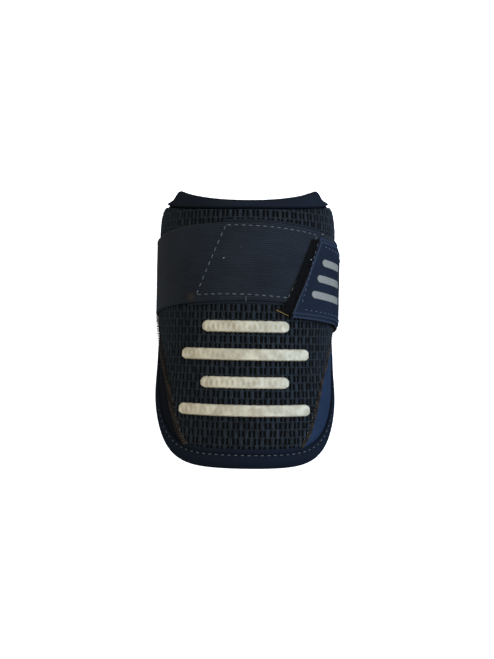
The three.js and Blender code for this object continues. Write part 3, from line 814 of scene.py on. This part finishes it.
def staggered_cloth():
    """Lays copies of the object's own mesh in rows, every other row moved by half a cell."""
    tree, start, end = node_group("net_rows", [
        ("Columns", "Int", 4), ("Rows", "Int", 4), ("Cell Width", "Float", 0.005), ("Cell Height", "Float", 0.005),
        ("Finish", "Material", None)])
    width = join(tree, "ShaderNodeMath", [(0, start, "Columns")], {"operation": "SUBTRACT"})
    width.inputs[1].default_value = 1.0
    width = join(tree, "ShaderNodeMath", [(0, width, 0), (1, start, "Cell Width")], {"operation": "MULTIPLY"})
    height = join(tree, "ShaderNodeMath", [(0, start, "Rows")], {"operation": "SUBTRACT"})
    height.inputs[1].default_value = 1.0
    height = join(tree, "ShaderNodeMath", [(0, height, 0), (1, start, "Cell Height")], {"operation": "MULTIPLY"})
    grid = join(tree, "GeometryNodeMeshGrid", [("Size X", width, 0), ("Size Y", height, 0),
                                               ("Vertices X", start, "Columns"), ("Vertices Y", start, "Rows")])
    where = tree.nodes.new("GeometryNodeInputPosition")
    split = join(tree, "ShaderNodeSeparateXYZ", [(0, where, 0)])
    row = join(tree, "ShaderNodeMath", [(0, split, 1), (1, start, "Cell Height")], {"operation": "DIVIDE"})
    row = join(tree, "ShaderNodeMath", [(0, row, 0)], {"operation": "ADD"})
    row.inputs[1].default_value = 400.1
    odd = join(tree, "ShaderNodeMath", [(0, row, 0)], {"operation": "MODULO"})
    odd.inputs[1].default_value = 2.0
    odd = join(tree, "ShaderNodeMath", [(0, odd, 0)], {"operation": "FLOOR"})
    half = join(tree, "ShaderNodeMath", [(0, odd, 0), (1, start, "Cell Width")], {"operation": "MULTIPLY"})
    half = join(tree, "ShaderNodeMath", [(0, half, 0)], {"operation": "MULTIPLY"})
    half.inputs[1].default_value = 0.5
    move = join(tree, "ShaderNodeCombineXYZ", [(0, half, 0)])
    shifted = join(tree, "GeometryNodeSetPosition", [("Geometry", grid, 0), ("Offset", move, 0)])
    copies = join(tree, "GeometryNodeInstanceOnPoints", [("Points", shifted, 0), ("Instance", start, "Geometry")])
    real = join(tree, "GeometryNodeRealizeInstances", [(0, copies, 0)])
    merged = join(tree, "GeometryNodeMergeByDistance", [(0, real, 0)], Distance=0.00002)
    painted = join(tree, "GeometryNodeSetMaterial", [("Geometry", merged, 0), ("Material", start, "Finish")])
    tree.links.new(painted.outputs[0], end.inputs[0])
    return tree


COLUMNS, ROWS = 30, 35
net = apply_nodes(net_cell(), staggered_cloth(), {
    "Columns": COLUMNS, "Rows": ROWS, "Cell Width": CELL_WIDTH * MM, "Cell Height": CELL_HEIGHT * MM,
    "Finish": net_cloth})
net.name = net.data.name = "spacer_net_cover"
print("net", len(net.data.polygons), "faces before it is cut")

# %% Cutting and bending the net
EDGE_WIDTH = 2.4
count = len(net.data.vertices)
spots = np.empty(count * 3)
net.data.vertices.foreach_get("co", spots)
spots = spots.reshape(-1, 3) / MM
arc, y, lift = spots[:, 0] - 1.4, spots[:, 1] + 0.5, spots[:, 2]
low, top = low_edge(arc, INSIDE_HEM), cover_top(arc)
reach = np.where(arc < 0, net_half(y, -1.0), net_half(y, 1.0)) - 0.4
past = (np.abs(arc) > reach) | (y < low) | (y > top)
arc = np.clip(arc, -reach, reach)
y = np.clip(y, low_edge(arc, INSIDE_HEM), cover_top(arc))
net_flat = np.stack([arc, y], -1)
waves = 0.10 * uneven(np.stack([arc, y, 0 * y], -1), 14.0)
net.data.vertices.foreach_set("co", place(on_skin(arc, y, NET_TOP + lift + waves)).ravel())
trim = bmesh.new()
trim.from_mesh(net.data)
trim.verts.ensure_lookup_table()
outside = [f for f in trim.faces if all(past[v.index] for v in f.verts)]
bmesh.ops.delete(trim, geom=outside, context="FACES")
slivers = [f for f in trim.faces if f.calc_area() < 1e-10]
bmesh.ops.delete(trim, geom=slivers, context="FACES")
bmesh.ops.recalc_face_normals(trim, faces=trim.faces)
if sum(f.normal.z * f.calc_area() for f in trim.faces) < 0:
    bmesh.ops.reverse_faces(trim, faces=trim.faces)
trim.to_mesh(net.data)
trim.free()
net_uv = net.data.uv_layers.new(name="pattern")
corners = np.empty(len(net.data.loops), int)
net.data.loops.foreach_get("vertex_index", corners)
places = np.empty(len(net.data.vertices) * 3)
net.data.vertices.foreach_get("co", places)
places = places.reshape(-1, 3) / MM - SHIFT
net_uv.data.foreach_set("uv", places[corners][:, :2].ravel())
net.data.polygons.foreach_set("use_smooth", [True] * len(net.data.polygons))
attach(net, "root")
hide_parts("net_cover")
print("net", len(net.data.polygons), "faces")

# %% [markdown]
# ## Side panels
# Beside the net the cap is covered in plain stretch cloth. It is a thin sheet pulled over the foam, so it lies close,
# fills out a little in its middle and keeps a few shallow creases that run down from the strap.

# %% Side panels
SIDE_TOP, PANEL_CORNER = 0.65, 0.8


def hem_beside(sign, share):
    """The hem's inner edge beside the net: along the lower edge to the wing, then up the wing."""
    start = net_side(0.0) + EDGE_WIDTH / 2 + 1.1
    arc = sign * mix(start, span_of(INSIDE_HEM) + TUCK, np.clip(share / PANEL_CORNER, 0, 1))
    rise = np.clip((share - PANEL_CORNER) / (1 - PANEL_CORNER), 0, 1)
    return arc, mix(low_edge(arc, INSIDE_HEM) - TUCK, net_y(sign, SIDE_TOP), rise)


for side, sign in (("left", -1.0), ("right", 1.0)):
    across, share = np.meshgrid(np.linspace(0, 1, 31), np.linspace(0, 1, 101))
    along = share * SIDE_TOP
    hem_side, hem_low = hem_beside(sign, share)
    arc = mix(sign * (net_side(along) + EDGE_WIDTH / 2 - 0.6), hem_side, across)
    y = mix(net_y(sign, along), hem_low, across)
    flat = np.stack([arc, y], -1)
    fill = 0.9 * np.sin(math.pi * across) ** 0.8
    creases = 0.22 * uneven(np.stack([arc * 1.6, y * 0.5, 0 * y], -1), 17.0, 1.0 + sign) * np.sin(math.pi * across)
    # Each panel takes its side's copy of the cloth: painted shade on the left, painted light on the right
    panel = wall(f"side_cloth_{side}", on_skin(arc, y, 0.7 + fill + creases), on_skin(arc, y, 0.1), flat,
                 side_cloth_painted_light_and_shade[side])
    # Painted shade along the seam beside the net's edge roll
    seams = np.exp(-((1 - across) * np.abs(hem_side - sign * net_side(along)) / 0.8) ** 2)
    panel.data.attributes.new("rim", "FLOAT", "POINT").data.foreach_set("value", np.concatenate([seams] * 2).ravel())
    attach(panel, "root")
    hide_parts(f"side_panel_{side}")

# %% [markdown]
# ## Collar
# Across the neck the cover ends in a folded band of smooth cloth. It widens over the two raised corners, drops
# steeply beyond them and runs out to a pointed ear on each side. Its two edges are worked out first, and a soft
# section is then carried from one to the other, thick and rounded like cloth folded over a cord.

# %% Collar
HORN_FALL = np.array([(40, 16), (44, 13.2), (46.5, 11.0), (48.5, 8.4), (50.2, 5.8), (51.8, 3.8), (54, 2.6), (58.9, 0.9)])
horn_rise = through(HORN_FALL[:, 0], HORN_FALL[:, 1])
EAR, COLLAR_HEIGHT, COLLAR_FOLD = 58.9, 3.4, 1.9
arc = EAR * np.sin(np.linspace(-1, 1, 241) * math.pi / 2)
reach = np.abs(arc)
to_ear = np.sqrt(np.clip((EAR - reach) / 4.0, 0, 1))
rises = np.stack([high_edge(arc, 0) + 0.25, collar_middle(arc) + horn_rise(reach)])
collar_top = 80.7 - 0.7 * np.log(np.exp(-(rises - 80) / 0.7).sum(axis=0))
collar_low = collar_middle(arc) + 0.5 - (COLLAR_WIDTH / 2 + 0.15) * collar_share(arc) * mix(0.2, 1, to_ear)
collar_high = COLLAR_HEIGHT - 0.7 * ease(28, 46, reach) + 1.0 * ease(50, EAR, reach)
loops, flats, seams = [], [], []
for share in np.concatenate([np.linspace(0, 1, 25) - 0.1 * np.sin(2 * math.pi * np.linspace(0, 1, 25)),
                             np.linspace(0.96, 0.04, 8)]):
    under = len(loops) >= 25
    y = mix(collar_low, collar_top, share)
    inside = np.minimum(share, 1 - share) * (collar_top - collar_low)
    fold = np.sqrt(np.clip(1 - (1 - np.clip(inside / COLLAR_FOLD, 0, 1)) ** 2, 0, 1))
    crease = 0.22 * np.exp(-((share - 0.62) / 0.07) ** 2) * ease(8, 20, -arc) * (1 - ease(40, 50, -arc))
    soft = 0.14 * uneven(np.stack([arc, 3 * y, 0 * y], -1), 19.0)
    height = 0.5 + (collar_high - 0.5) * fold + (soft - crease) * fold
    loops.append(on_skin(arc, y, np.full(arc.shape, 0.45 + 0.6 * ease(52, EAR, reach)) if under else height))
    flats.append(np.stack([arc, y - (2.0 if under else 0.0)], -1))
    # Painted shadow: a near black line along the band's lower edge, under the fold
    seams.append(np.exp(-((y - collar_low) / 0.75) ** 2))
collar = roll("collar_fold", np.stack(loops, 1), np.stack(flats, 1), collar_cloth, closed=False)
collar.data.attributes.new("rim", "FLOAT", "POINT").data.foreach_set("value", np.stack(seams, 1).ravel())
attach(collar, "root")
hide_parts("collar_band")
print("collar", len(collar.data.polygons), "faces")

# %% [markdown]
# ## The strap
# The elastic is one loop of ribbed webbing: over the front, round each wing and flat across the open back. A flat
# strap is modelled directly, because its ribs and selvedges are finer than a simulation could keep. Its path is
# measured along the loop, so that the ribs, the stitches and the patches on it all use the same two lengths.

# %% Strap path
TURN = math.radians(107)
BAND_LOW = NET_TOP + GAP
BAND_ON_BACKING = BAND_LOW + 0.8 + GAP
BACKING_FROM, BACKING_TO, BACKING_SLANT, RAMP = -13.0, 44.0, 21.0, 14.0
band_core = BAND_LOW + BAND_THICKNESS / 2
turn_skin, turn_out = np.array(section(TURN, 0.0)), np.array(section(TURN, 1.0))
lean = (turn_out - turn_skin)[1]
TURN_RADIUS = (turn_skin[1] + band_core * lean - BAND_THICKNESS / 2) / (1 + lean)
turn_middle = np.array(section(TURN, band_core - TURN_RADIUS))
turn_start = math.atan2((turn_out - turn_skin)[0], lean)
OVER, ROUND = TURN * SKIN_RADIUS, TURN_RADIUS * (math.pi - turn_start)
HALF_LOOP = OVER + ROUND + turn_middle[0]


def band_line(run):
    """Y of the strap's middle line at a length along the loop from the crown."""
    angle = np.where(np.abs(run) <= OVER, run / SKIN_RADIUS,
                     mix(TURN, math.pi, np.clip((np.abs(run) - OVER) / ROUND, 0, 1)))
    return BAND_MIDDLE - BAND_FALL * (1 - np.cos(angle))


def on_band(run, side, offset):
    """Places on the strap: length along the loop, distance from its middle line, height above the shell."""
    run, side, offset = np.broadcast_arrays(*(np.asarray(v, float) for v in (run, side, offset)))
    over_x, over_z = section(run / SKIN_RADIUS, offset)
    turned = np.clip((np.abs(run) - OVER) / ROUND, 0, 1)
    heading = mix(turn_start, math.pi, turned)
    radius = TURN_RADIUS + offset - band_core
    back = np.clip(np.abs(run) - OVER - ROUND, 0, None)
    round_x = np.sign(run) * (turn_middle[0] - back + radius * np.sin(heading))
    round_z = turn_middle[1] + radius * np.cos(heading)
    over = np.abs(run) <= OVER
    return np.stack([np.where(over, over_x, round_x), band_line(run) + side, np.where(over, over_z, round_z)], -1)


def band_under(run):
    """Height of the strap's underside, which climbs on its backing."""
    on = ease(BACKING_FROM - BACKING_SLANT - RAMP, BACKING_FROM - BACKING_SLANT, run)
    return mix(BAND_LOW, BAND_ON_BACKING, on * (1 - ease(BACKING_TO, BACKING_TO + RAMP, run)))


def to_lines(run, side, corners):
    """Distance from places on the strap to a closed line of corners."""
    here = np.stack([run, side], -1)
    nearest = np.full(run.shape, 1e9)
    for first, second in zip(corners, np.roll(corners, -1, axis=0)):
        step = second - first
        share = np.clip(((here - first) @ step) / (step @ step), 0, 1)
        nearest = np.minimum(nearest, np.linalg.norm(here - first - share[..., None] * step, axis=-1))
    return nearest


print("strap loop", round(2 * HALF_LOOP), "mm")

# %% Strap
RIB_PITCH = 1.058
STITCHED_BOX = np.array([(-11.1, 20.9), (-26.7, -18.6), (21.8, -20.0), (39.9, 19.8)])
ribs_across = np.linspace(-BAND_WIDTH / 2, BAND_WIDTH / 2, 173)
under_across = np.linspace(BAND_WIDTH / 2, -BAND_WIDTH / 2, 10)
runs = np.concatenate([np.linspace(-HALF_LOOP, -OVER - ROUND, 6, endpoint=False),
                       np.linspace(-OVER - ROUND, -OVER, 22, endpoint=False), np.linspace(-OVER, OVER, 210),
                       np.linspace(OVER, OVER + ROUND, 22)[1:],
                       np.linspace(OVER + ROUND, HALF_LOOP, 6, endpoint=False)[1:]])
run, side = np.meshgrid(runs, ribs_across, indexing="ij")
selvedge = np.abs(side) / (BAND_WIDTH / 2)
height = band_under(run) + BAND_THICKNESS - 0.55 * ease(0.965, 1.0, selvedge) + 0.12 * ease(0.9, 0.95, selvedge)
height = height + 0.055 * np.cos(2 * math.pi * side / RIB_PITCH) * (1 - ease(0.93, 0.97, selvedge))
height = height - 0.12 * np.exp(-(to_lines(run, side, STITCHED_BOX) / 0.7) ** 2)
height = height + 0.10 * uneven(np.stack([run, side, 0 * run], -1), 24.0)
wander = 0.22 * np.sin(run / 11.0 + np.sin(run / 23.0)) * (run.clip(-OVER, OVER) == run)
outer = on_band(run, side + wander * selvedge ** 3, height)
run_low, side_low = np.meshgrid(runs, under_across, indexing="ij")
inner = on_band(run_low, side_low, band_under(run_low))
loops = np.concatenate([outer, inner], 1)
flats = np.concatenate([np.stack([run, side], -1), np.stack([run_low, side_low], -1)], 1)
strap = roll("elastic_strap", loops, flats, elastic_cloth, closed=True)
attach(strap, "root")
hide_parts("strap_band")
print("strap", len(strap.data.polygons), "faces")


# %% [markdown]
# ## Patches on the strap
# Three flat pieces lie along the strap: the backing sewn behind it, whose edges peek out, the black hook patch, and
# the pull tab, which is cloth folded round a stiffener, so it shows two edges, one under the other.

# %% Patches


def patch(name, start, end, low, high, top, thick, finish, columns=120, rows=60, soft_edge=1.0, groove=None):
    """A sheet along the strap. start and end give its ends for a share up its width, low and high its long edges,
    top the height of its upper face. soft_edge is how wide the edges round over."""
    across, along = np.meshgrid(np.linspace(0, 1, columns + 1), np.linspace(0, 1, rows + 1))
    across = across - 0.10 * np.sin(2 * math.pi * across)
    along = along - 0.08 * np.sin(2 * math.pi * along)
    run = mix(start(along), end(along), across)
    side = mix(low(run), high(run), along)
    width, length = high(run) - low(run), end(along) - start(along)
    inside = np.minimum(np.minimum(along, 1 - along) * width, np.minimum(across, 1 - across) * length)
    round_off = np.sqrt(np.clip(1 - (1 - np.clip(inside / soft_edge, 0, 1)) ** 2, 0, 1))
    height = top(run) - thick * 0.5 * (1 - round_off)
    height = height + 0.06 * uneven(np.stack([run, side, 0 * run], -1), 13.0, 3.0)
    if groove:
        height = height - 0.22 * np.exp(-((inside - groove) / 0.7) ** 2)
    flat = np.stack([run, side], -1)
    under = top(run) - thick * (0.5 + 0.5 * round_off)
    piece = wall(name, on_band(run, side, height), on_band(run, side, under), flat, finish)
    # Marks the rounded edges, where a cloth that reads the mark gets a painted highlight with wear
    rims = np.concatenate([np.exp(-((inside - 0.5) / 0.5) ** 2)] * 2).ravel()
    piece.data.attributes.new("rim", "FLOAT", "POINT").data.foreach_set("value", rims)
    return piece


def dress_piece(piece, node):
    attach(piece, "root")
    if node:
        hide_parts(node)
    print(piece.name, len(piece.data.polygons), "faces")
    return piece


HALF_BACKING = BAND_WIDTH / 2 + 1.8
backing = dress_piece(patch(
    "strap_backing_cloth", lambda s: BACKING_FROM - BACKING_SLANT * (1 - s),
    lambda s: BACKING_TO - BACKING_SLANT * (1 - s), lambda r: 0 * r - HALF_BACKING, lambda r: 0 * r + HALF_BACKING,
    lambda r: BAND_LOW + 0.9 + 0 * r, 0.9, backing_cloth, rows=70, soft_edge=0.5), "strap_backing")

TAB_TOP_FROM, TAB_LOW_FROM, TAB_TO, HOOK_TO, HOOK_PEEK = 40.8, 23.4, 90.0, 54.0, 4.6
TAB_HALF = 24.3
ON_STRAP = BAND_ON_BACKING + BAND_THICKNESS


def tab_from(share):
    return mix(TAB_LOW_FROM, TAB_TOP_FROM, share)


def tab_middle(run):
    return -6.0 + 1.2 * np.clip((run - TAB_LOW_FROM) / (TAB_TO - TAB_LOW_FROM), 0, 1)


def tab_top(run):
    return mix(ON_STRAP + 0.8 + 2 * GAP, BAND_LOW + BAND_THICKNESS + GAP, ease(HOOK_TO, HOOK_TO + RAMP, run)) + 1.2


tab = dress_piece(patch(
    "pull_tab_face", tab_from, lambda s: TAB_TO + 0 * s, lambda r: tab_middle(r) - TAB_HALF + 1.2,
    lambda r: tab_middle(r) + TAB_HALF - 2.0, lambda r: tab_top(r) + 0.15, 0.75, tab_cloth, rows=90, groove=2.8,
    soft_edge=1.1), "pull_tab")
tab_back = dress_piece(patch(
    "pull_tab_fold", lambda s: tab_from(s) + 0.5, lambda s: TAB_TO - 0.4 + 0 * s,
    lambda r: tab_middle(r) - TAB_HALF - 1.0, lambda r: tab_middle(r) + TAB_HALF, lambda r: tab_top(r) - 0.8, 0.4,
    tab_cloth, soft_edge=0.5), None)
hook = dress_piece(patch(
    "hook_strip", lambda s: tab_from(s) - HOOK_PEEK, lambda s: HOOK_TO - RAMP / 2 + 0 * s,
    lambda r: tab_middle(r) - TAB_HALF + 1.6, lambda r: tab_middle(r) + TAB_HALF - 1.6,
    lambda r: ON_STRAP + GAP + 0.8 + 0 * r, 0.8, fuzz_cloth, soft_edge=0.6), "tab_hook")

# %% [markdown]
# ## Bars
# Four plain bars stand on the net, the bottom and second of them longer. The real rubber is pressed into the net while
# it is soft, so its face keeps the lumps of the cells under it and its rim is slightly ragged. Three thin bars of the
# same shape are printed on the tab. Both are one grid with round ends, laid on the skin or on the strap.

# %% Bars
BAR_HEIGHT, BAR_PITCH, BAR_TOP = 7.0, 16.4, 3.4


def pill_bar(name, length, tall, surface, thick, lumpiness, finish):
    """A bar with round ends. surface turns a length along it, one across it and a lift into a place."""
    across, along = np.meshgrid(np.linspace(-1, 1, 121), np.linspace(-1, 1, 21))
    x, edge = np.sin(across * math.pi / 2) * length / 2, np.sin(along * math.pi / 2)
    past = np.clip((np.abs(x) - (length - tall) / 2) / (tall / 2), 0, 1)
    half = tall / 2 * np.sqrt(np.clip(1 - past * past, 0.004, 1))
    flat = np.stack([x, edge * half, 0 * x], -1)
    y = edge * (half + 0.2 * lumpiness * uneven(flat, 2.1, length))
    inside = np.minimum((1 - np.abs(edge)) * half, np.maximum(length / 2 - np.abs(x), 0))
    rounding = np.sqrt(np.clip(1 - (1 - np.clip(inside / min(1.0, 2 * thick), 0, 1)) ** 2, 0, 1))
    cells = np.cos(2 * math.pi * x / 2.75) * np.cos(math.pi * y / CELL_HEIGHT)
    lumps = lumpiness * (0.28 * cells + 0.16 * uneven(flat, 4.5, 2.0 + length))
    bar = wall(name, surface(x, y, (thick + lumps) * rounding), surface(x, y, 0 * x - 0.2), flat[..., :2], finish)
    rims = np.concatenate([np.exp(-(inside / 0.9) ** 2) * np.where(edge < 0, 1, 0.4)] * 2).ravel()
    bar.data.attributes.new("rim", "FLOAT", "POINT").data.foreach_set("value", rims)
    return bar


for index, length in enumerate((48.0, 74.0, 48.0, 74.0)):
    middle = BAR_TOP - BAR_PITCH * index
    bar = pill_bar(f"moulded_bar_{index + 1}", length, BAR_HEIGHT,
                   lambda x, y, lift: on_skin(x, middle + y, NET_TOP + lift), 1.35, 1.0, rubber_cloth)
    dress_piece(bar, f"badge_bar_{index + 1}")

for index, (start, side) in enumerate(((42.0, 4.0), (38.4, -6.0), (34.8, -16.0))):
    length = 60.0 - start
    bar = pill_bar(f"printed_bar_{index + 1}", length, 4.4,
                   lambda x, y, lift: on_band(start + length / 2 + x, side + y,
                                              tab_top(start + length / 2 + x) + 0.2 + lift),
                   0.3, 0.15, print_cloth)
    dress_piece(bar, None)

# %% [markdown]
# ## The net's raw edge
# The net is overlocked before it is sewn down, and the edge stays in sight: a narrow dark roll wrapped in slanted
# brown thread, rubbed tan where it sticks out.

# %% Net edges
for side, sign in (("left", -1.0), ("right", 1.0)):
    along = np.linspace(0.0, SIDE_TOP, 141)
    turns = np.linspace(0, 2 * math.pi, 16, endpoint=False)
    middle = net_side(along)
    loops, flats = [], []
    for turn in turns:
        arc, y = sign * middle + math.cos(turn) * EDGE_WIDTH / 2, net_y(sign, along)
        loops.append(on_skin(arc, y, 1.75 + 1.2 * math.sin(turn) + 0.08 * np.sin(along * 400)))
        flats.append(np.stack([arc, y], -1))
    edge = roll(f"net_edge_roll_{side}", np.stack(loops, 1), np.stack(flats, 1), edge_cloth, closed=False)
    dress_piece(edge, f"net_edge_{side}")

# %% [markdown]
# ## Threads
# To a maker, the stitches, the overlock round the net's edge and the fuzz of the hook patch are the same thing: short
# pieces of thread set at even steps along a line. One Geometry Nodes tree sets them all. It spaces points along each
# line, turns a strand to the line and to the cloth under it, and adds a little unevenness with a fixed seed.

# %% One strand


def strand(name, path, radii, sides=5):
    """A tapered thread along a path in millimetres, as an object that copies are made of."""
    path, radii = np.asarray(path, float), np.asarray(radii, float)
    ahead = np.gradient(path, axis=0)
    ahead /= np.linalg.norm(ahead, axis=1, keepdims=True)
    across = np.cross(ahead, np.eye(3)[np.argmin(np.abs(ahead).mean(axis=0))])
    across /= np.linalg.norm(across, axis=1, keepdims=True)
    turns = np.linspace(0, 2 * math.pi, sides, endpoint=False)[:, None, None]
    rings = path + radii[:, None] * (np.cos(turns) * across + np.sin(turns) * np.cross(ahead, across))
    rings = rings.transpose(1, 0, 2)
    return roll(name, rings - SHIFT, np.zeros((*rings.shape[:2], 2)), None, closed=False)


def stitch(length, width):
    """A stitch: a short thread that dives into the cloth at both ends."""
    x = np.linspace(-length / 2, length / 2, 6)
    bow = 1 - (2 * x / length) ** 2
    return strand("stitch", np.stack([x, 0 * x, 0.28 * bow - 0.08], -1), width / 2 * np.sqrt(bow + 0.06))


def wrap(radius, width):
    """A thread over a round edge."""
    turn = np.linspace(-1.5, 1.5, 8)
    return strand("wrap", np.stack([0 * turn, radius * np.sin(turn), radius * np.cos(turn)], -1), 0 * turn + width / 2)


def fibre(length, width, out):
    """A loose fibre that rises and leans outwards."""
    t = np.linspace(0, 1, 4)
    return strand("fibre", np.stack([0.1 * t, out * length * t ** 1.5, length * t * (1 - 0.5 * t)], -1),
                  width / 2 * (1 - 0.6 * t), sides=3)


print("strands ready")

# %% Setting strands along lines


def strands_along():
    tree, start, end = node_group("strands_along", [
        ("Strand", "Object", None), ("Pitch", "Float", 0.004), ("Slant", "Float", 0.0), ("Unevenness", "Float", 0.1),
        ("Seed", "Int", 1), ("Finish", "Material", None)])
    line = join(tree, "GeometryNodeMeshToCurve", [("Mesh", start, "Geometry")])
    spaced = join(tree, "GeometryNodeResampleCurve", [("Curve", line, 0), ("Length", start, "Pitch")],
                  {"mode": "LENGTH"})
    ahead = tree.nodes.new("GeometryNodeInputTangent")
    up = join(tree, "GeometryNodeInputNamedAttribute", [], {"data_type": "FLOAT_VECTOR"}, Name="up")
    turned = join(tree, "FunctionNodeAlignRotationToVector", [("Vector", ahead, 0)], {"axis": "X"})
    stood = join(tree, "FunctionNodeAlignRotationToVector", [("Rotation", turned, 0), ("Vector", up, 0)],
                 {"axis": "Z", "pivot_axis": "X"})
    chance = join(tree, "FunctionNodeRandomValue", [("Seed", start, "Seed")], {"data_type": "FLOAT_VECTOR"})
    chance.inputs[0].default_value = (-1.0, -1.0, -1.0)
    shaken = join(tree, "ShaderNodeVectorMath", [(0, chance, 0), ("Scale", start, "Unevenness")],
                  {"operation": "SCALE"})
    slant = join(tree, "ShaderNodeCombineXYZ", [("Z", start, "Slant")])
    angles = join(tree, "ShaderNodeVectorMath", [(0, shaken, 0), (1, slant, 0)], {"operation": "ADD"})
    twist = join(tree, "FunctionNodeEulerToRotation", [(0, angles, 0)])
    way = join(tree, "FunctionNodeRotateRotation", [(0, stood, 0), (1, twist, 0)], {"rotation_space": "LOCAL"})
    thread = join(tree, "GeometryNodeObjectInfo", [("Object", start, "Strand")])
    copies = join(tree, "GeometryNodeInstanceOnPoints", [
        ("Points", spaced, 0), ("Instance", thread, "Geometry"), ("Rotation", way, 0)])
    real = join(tree, "GeometryNodeRealizeInstances", [(0, copies, 0)])
    painted = join(tree, "GeometryNodeSetMaterial", [("Geometry", real, 0), ("Material", start, "Finish")])
    tree.links.new(painted.outputs[0], end.inputs[0])
    return tree


STRANDS_ALONG = strands_along()


def sew(name, lines, thread, pitch, finish, slant=0.0, unevenness=0.06, seed=1):
    """Sets copies of a thread along lines. Each line is places and the same places one millimetre higher."""
    points = np.concatenate([low for low, high in lines])
    ups = np.concatenate([high - low for low, high in lines])
    ends = set(np.cumsum([len(low) for low, high in lines]) - 1)
    edges = [(i, i + 1) for i in range(len(points) - 1) if i not in ends]
    mesh = bpy.data.meshes.new(name)
    mesh.from_pydata(place(points).tolist(), edges, [])
    mesh.attributes.new("up", "FLOAT_VECTOR", "POINT").data.foreach_set("vector", ups.ravel())
    piece = bpy.data.objects.new(name, mesh)
    scene.collection.objects.link(piece)
    apply_nodes(piece, STRANDS_ALONG, {"Strand": thread, "Pitch": pitch * MM, "Slant": slant,
                                       "Unevenness": unevenness, "Seed": seed, "Finish": finish})
    piece.data.name = name
    bpy.data.objects.remove(thread)
    return dress_piece(piece, None)


CORNER_SPACE = 1.6


def band_lines(corners, height, lift=0.0):
    """Straight lines on the strap from corner to corner."""
    lines = []
    for first, second in zip(corners, corners[1:]):
        start = CORNER_SPACE / max(math.dist(first, second), 4 * CORNER_SPACE)
        share = np.linspace(start, 1 - start, 41)[:, None]
        run, side = mix(np.array(first), np.array(second), share).T
        lines.append(tuple(on_band(run, side, height(run) + lift + step) for step in (0, 1)))
    return lines


def on_strap(run):
    return band_under(run) + BAND_THICKNESS


def on_tab(run):
    return tab_top(run) + 0.15


# %% Stitches
box_corners = [tuple(corner) for corner in STITCHED_BOX] + [tuple(STITCHED_BOX[0])]
sew("strap_stitches", band_lines(box_corners, on_strap), stitch(2.7, 0.72), 4.1, stitch_pale, 0.0, 0.1)
sew("strap_tick", band_lines([(-0.2, -20.8), (-0.2, -23.0)], on_strap), stitch(1.9, 0.5), 1.6, stitch_pale)
sew("tab_stitches", band_lines([(38.4, 15.0), (36.2, 7.3), (28.6, -22.4)], on_tab)
    + band_lines([(29.7, -25.9), (49.6, -25.7), (86.0, -25.0)], on_tab)
    + band_lines([(43.0, 13.6), (62.0, 12.6), (86.0, 13.0)], on_tab), stitch(2.2, 0.6), 3.3, stitch_navy)
hem_row = np.linspace(-66, 66, 200)
sew("hem_stitches", [tuple(on_skin(hem_row, low_edge(hem_row, 0.79), 1.5 + step) for step in (0, 1))],
    stitch(2.1, 0.6), 3.9, stitch_pale)

# %% Overlock on the net's edges
for side, sign in (("left", -1.0), ("right", 1.0)):
    along = np.linspace(0.003, SIDE_TOP - 0.003, 120)
    high = 2.3 if side == "left" else 1.9
    line = [tuple(on_skin(sign * net_side(along), net_y(sign, along), high + step) for step in (0, 1))]
    sew(f"overlock_{side}", line, wrap(1.7 if side == "left" else 1.3, 0.5), 1.25, stitch_tan, slant=0.5 * sign, seed=4)
    along = np.linspace(0.01, 0.2, 40)
    beside = sign * (net_side(along) - 1.9)
    line = [tuple(on_skin(beside, net_y(sign, along), NET_TOP + step) for step in (0, 1))]
    sew(f"net_tack_{side}", line, stitch(1.5, 0.4), 4.2, stitch_pale, seed=5)

# %% Fuzz, lint and a loose thread
edge_share = np.linspace(0.02, 0.98, 80)
edge_side = tab_middle(30.0) + TAB_HALF * (2 * edge_share - 1)
fuzz_lines = []
for row in np.linspace(0.0, 1.0, 7):
    run = tab_from(edge_share) - HOOK_PEEK * row
    fuzz_lines.append(tuple(on_band(run, edge_side * 0.96 - 0.2, ON_STRAP + GAP + 0.75 + step) for step in (0, 1)))
sew("hook_loops", fuzz_lines, fibre(1.0, 0.26, -0.5), 0.55, black_loop, unevenness=0.7, seed=7)
raw_lines = [tuple(on_band(tab_from(edge_share) + shift, edge_side, ON_STRAP + 1.6 + step) for step in (0, 1))
             for shift in (0.0, 0.45)]
sew("tab_raw_edge", raw_lines, fibre(1.1, 0.2, 0.9), 0.5, raw_edge, unevenness=0.6, seed=9)
specks = [(42.8, 20.9), (39.9, 12.5), (34.6, 4.1), (-12.0, 1.5)]
sew("lint", [line for run, side in specks for line in band_lines([(run, side), (run + 0.5, side + 0.4)], on_strap, 1.2)],
    stitch(0.8, 0.5), 0.7, lint_white, unevenness=0.5, seed=11)
run = np.linspace(16.0, 23.0, 12)
loose = on_band(run, mix(-27.6, -30.2, (run - 16.0) / 7.0), BAND_LOW + 0.7 + 0.35 * np.sin(run * 1.1))
loose = strand("loose_thread", loose, np.full(12, 0.2))
loose.data.transform(Matrix.Translation(Vector(SHIFT * MM)))
loose.data.materials.append(thread_yellow)
dress_piece(loose, None)
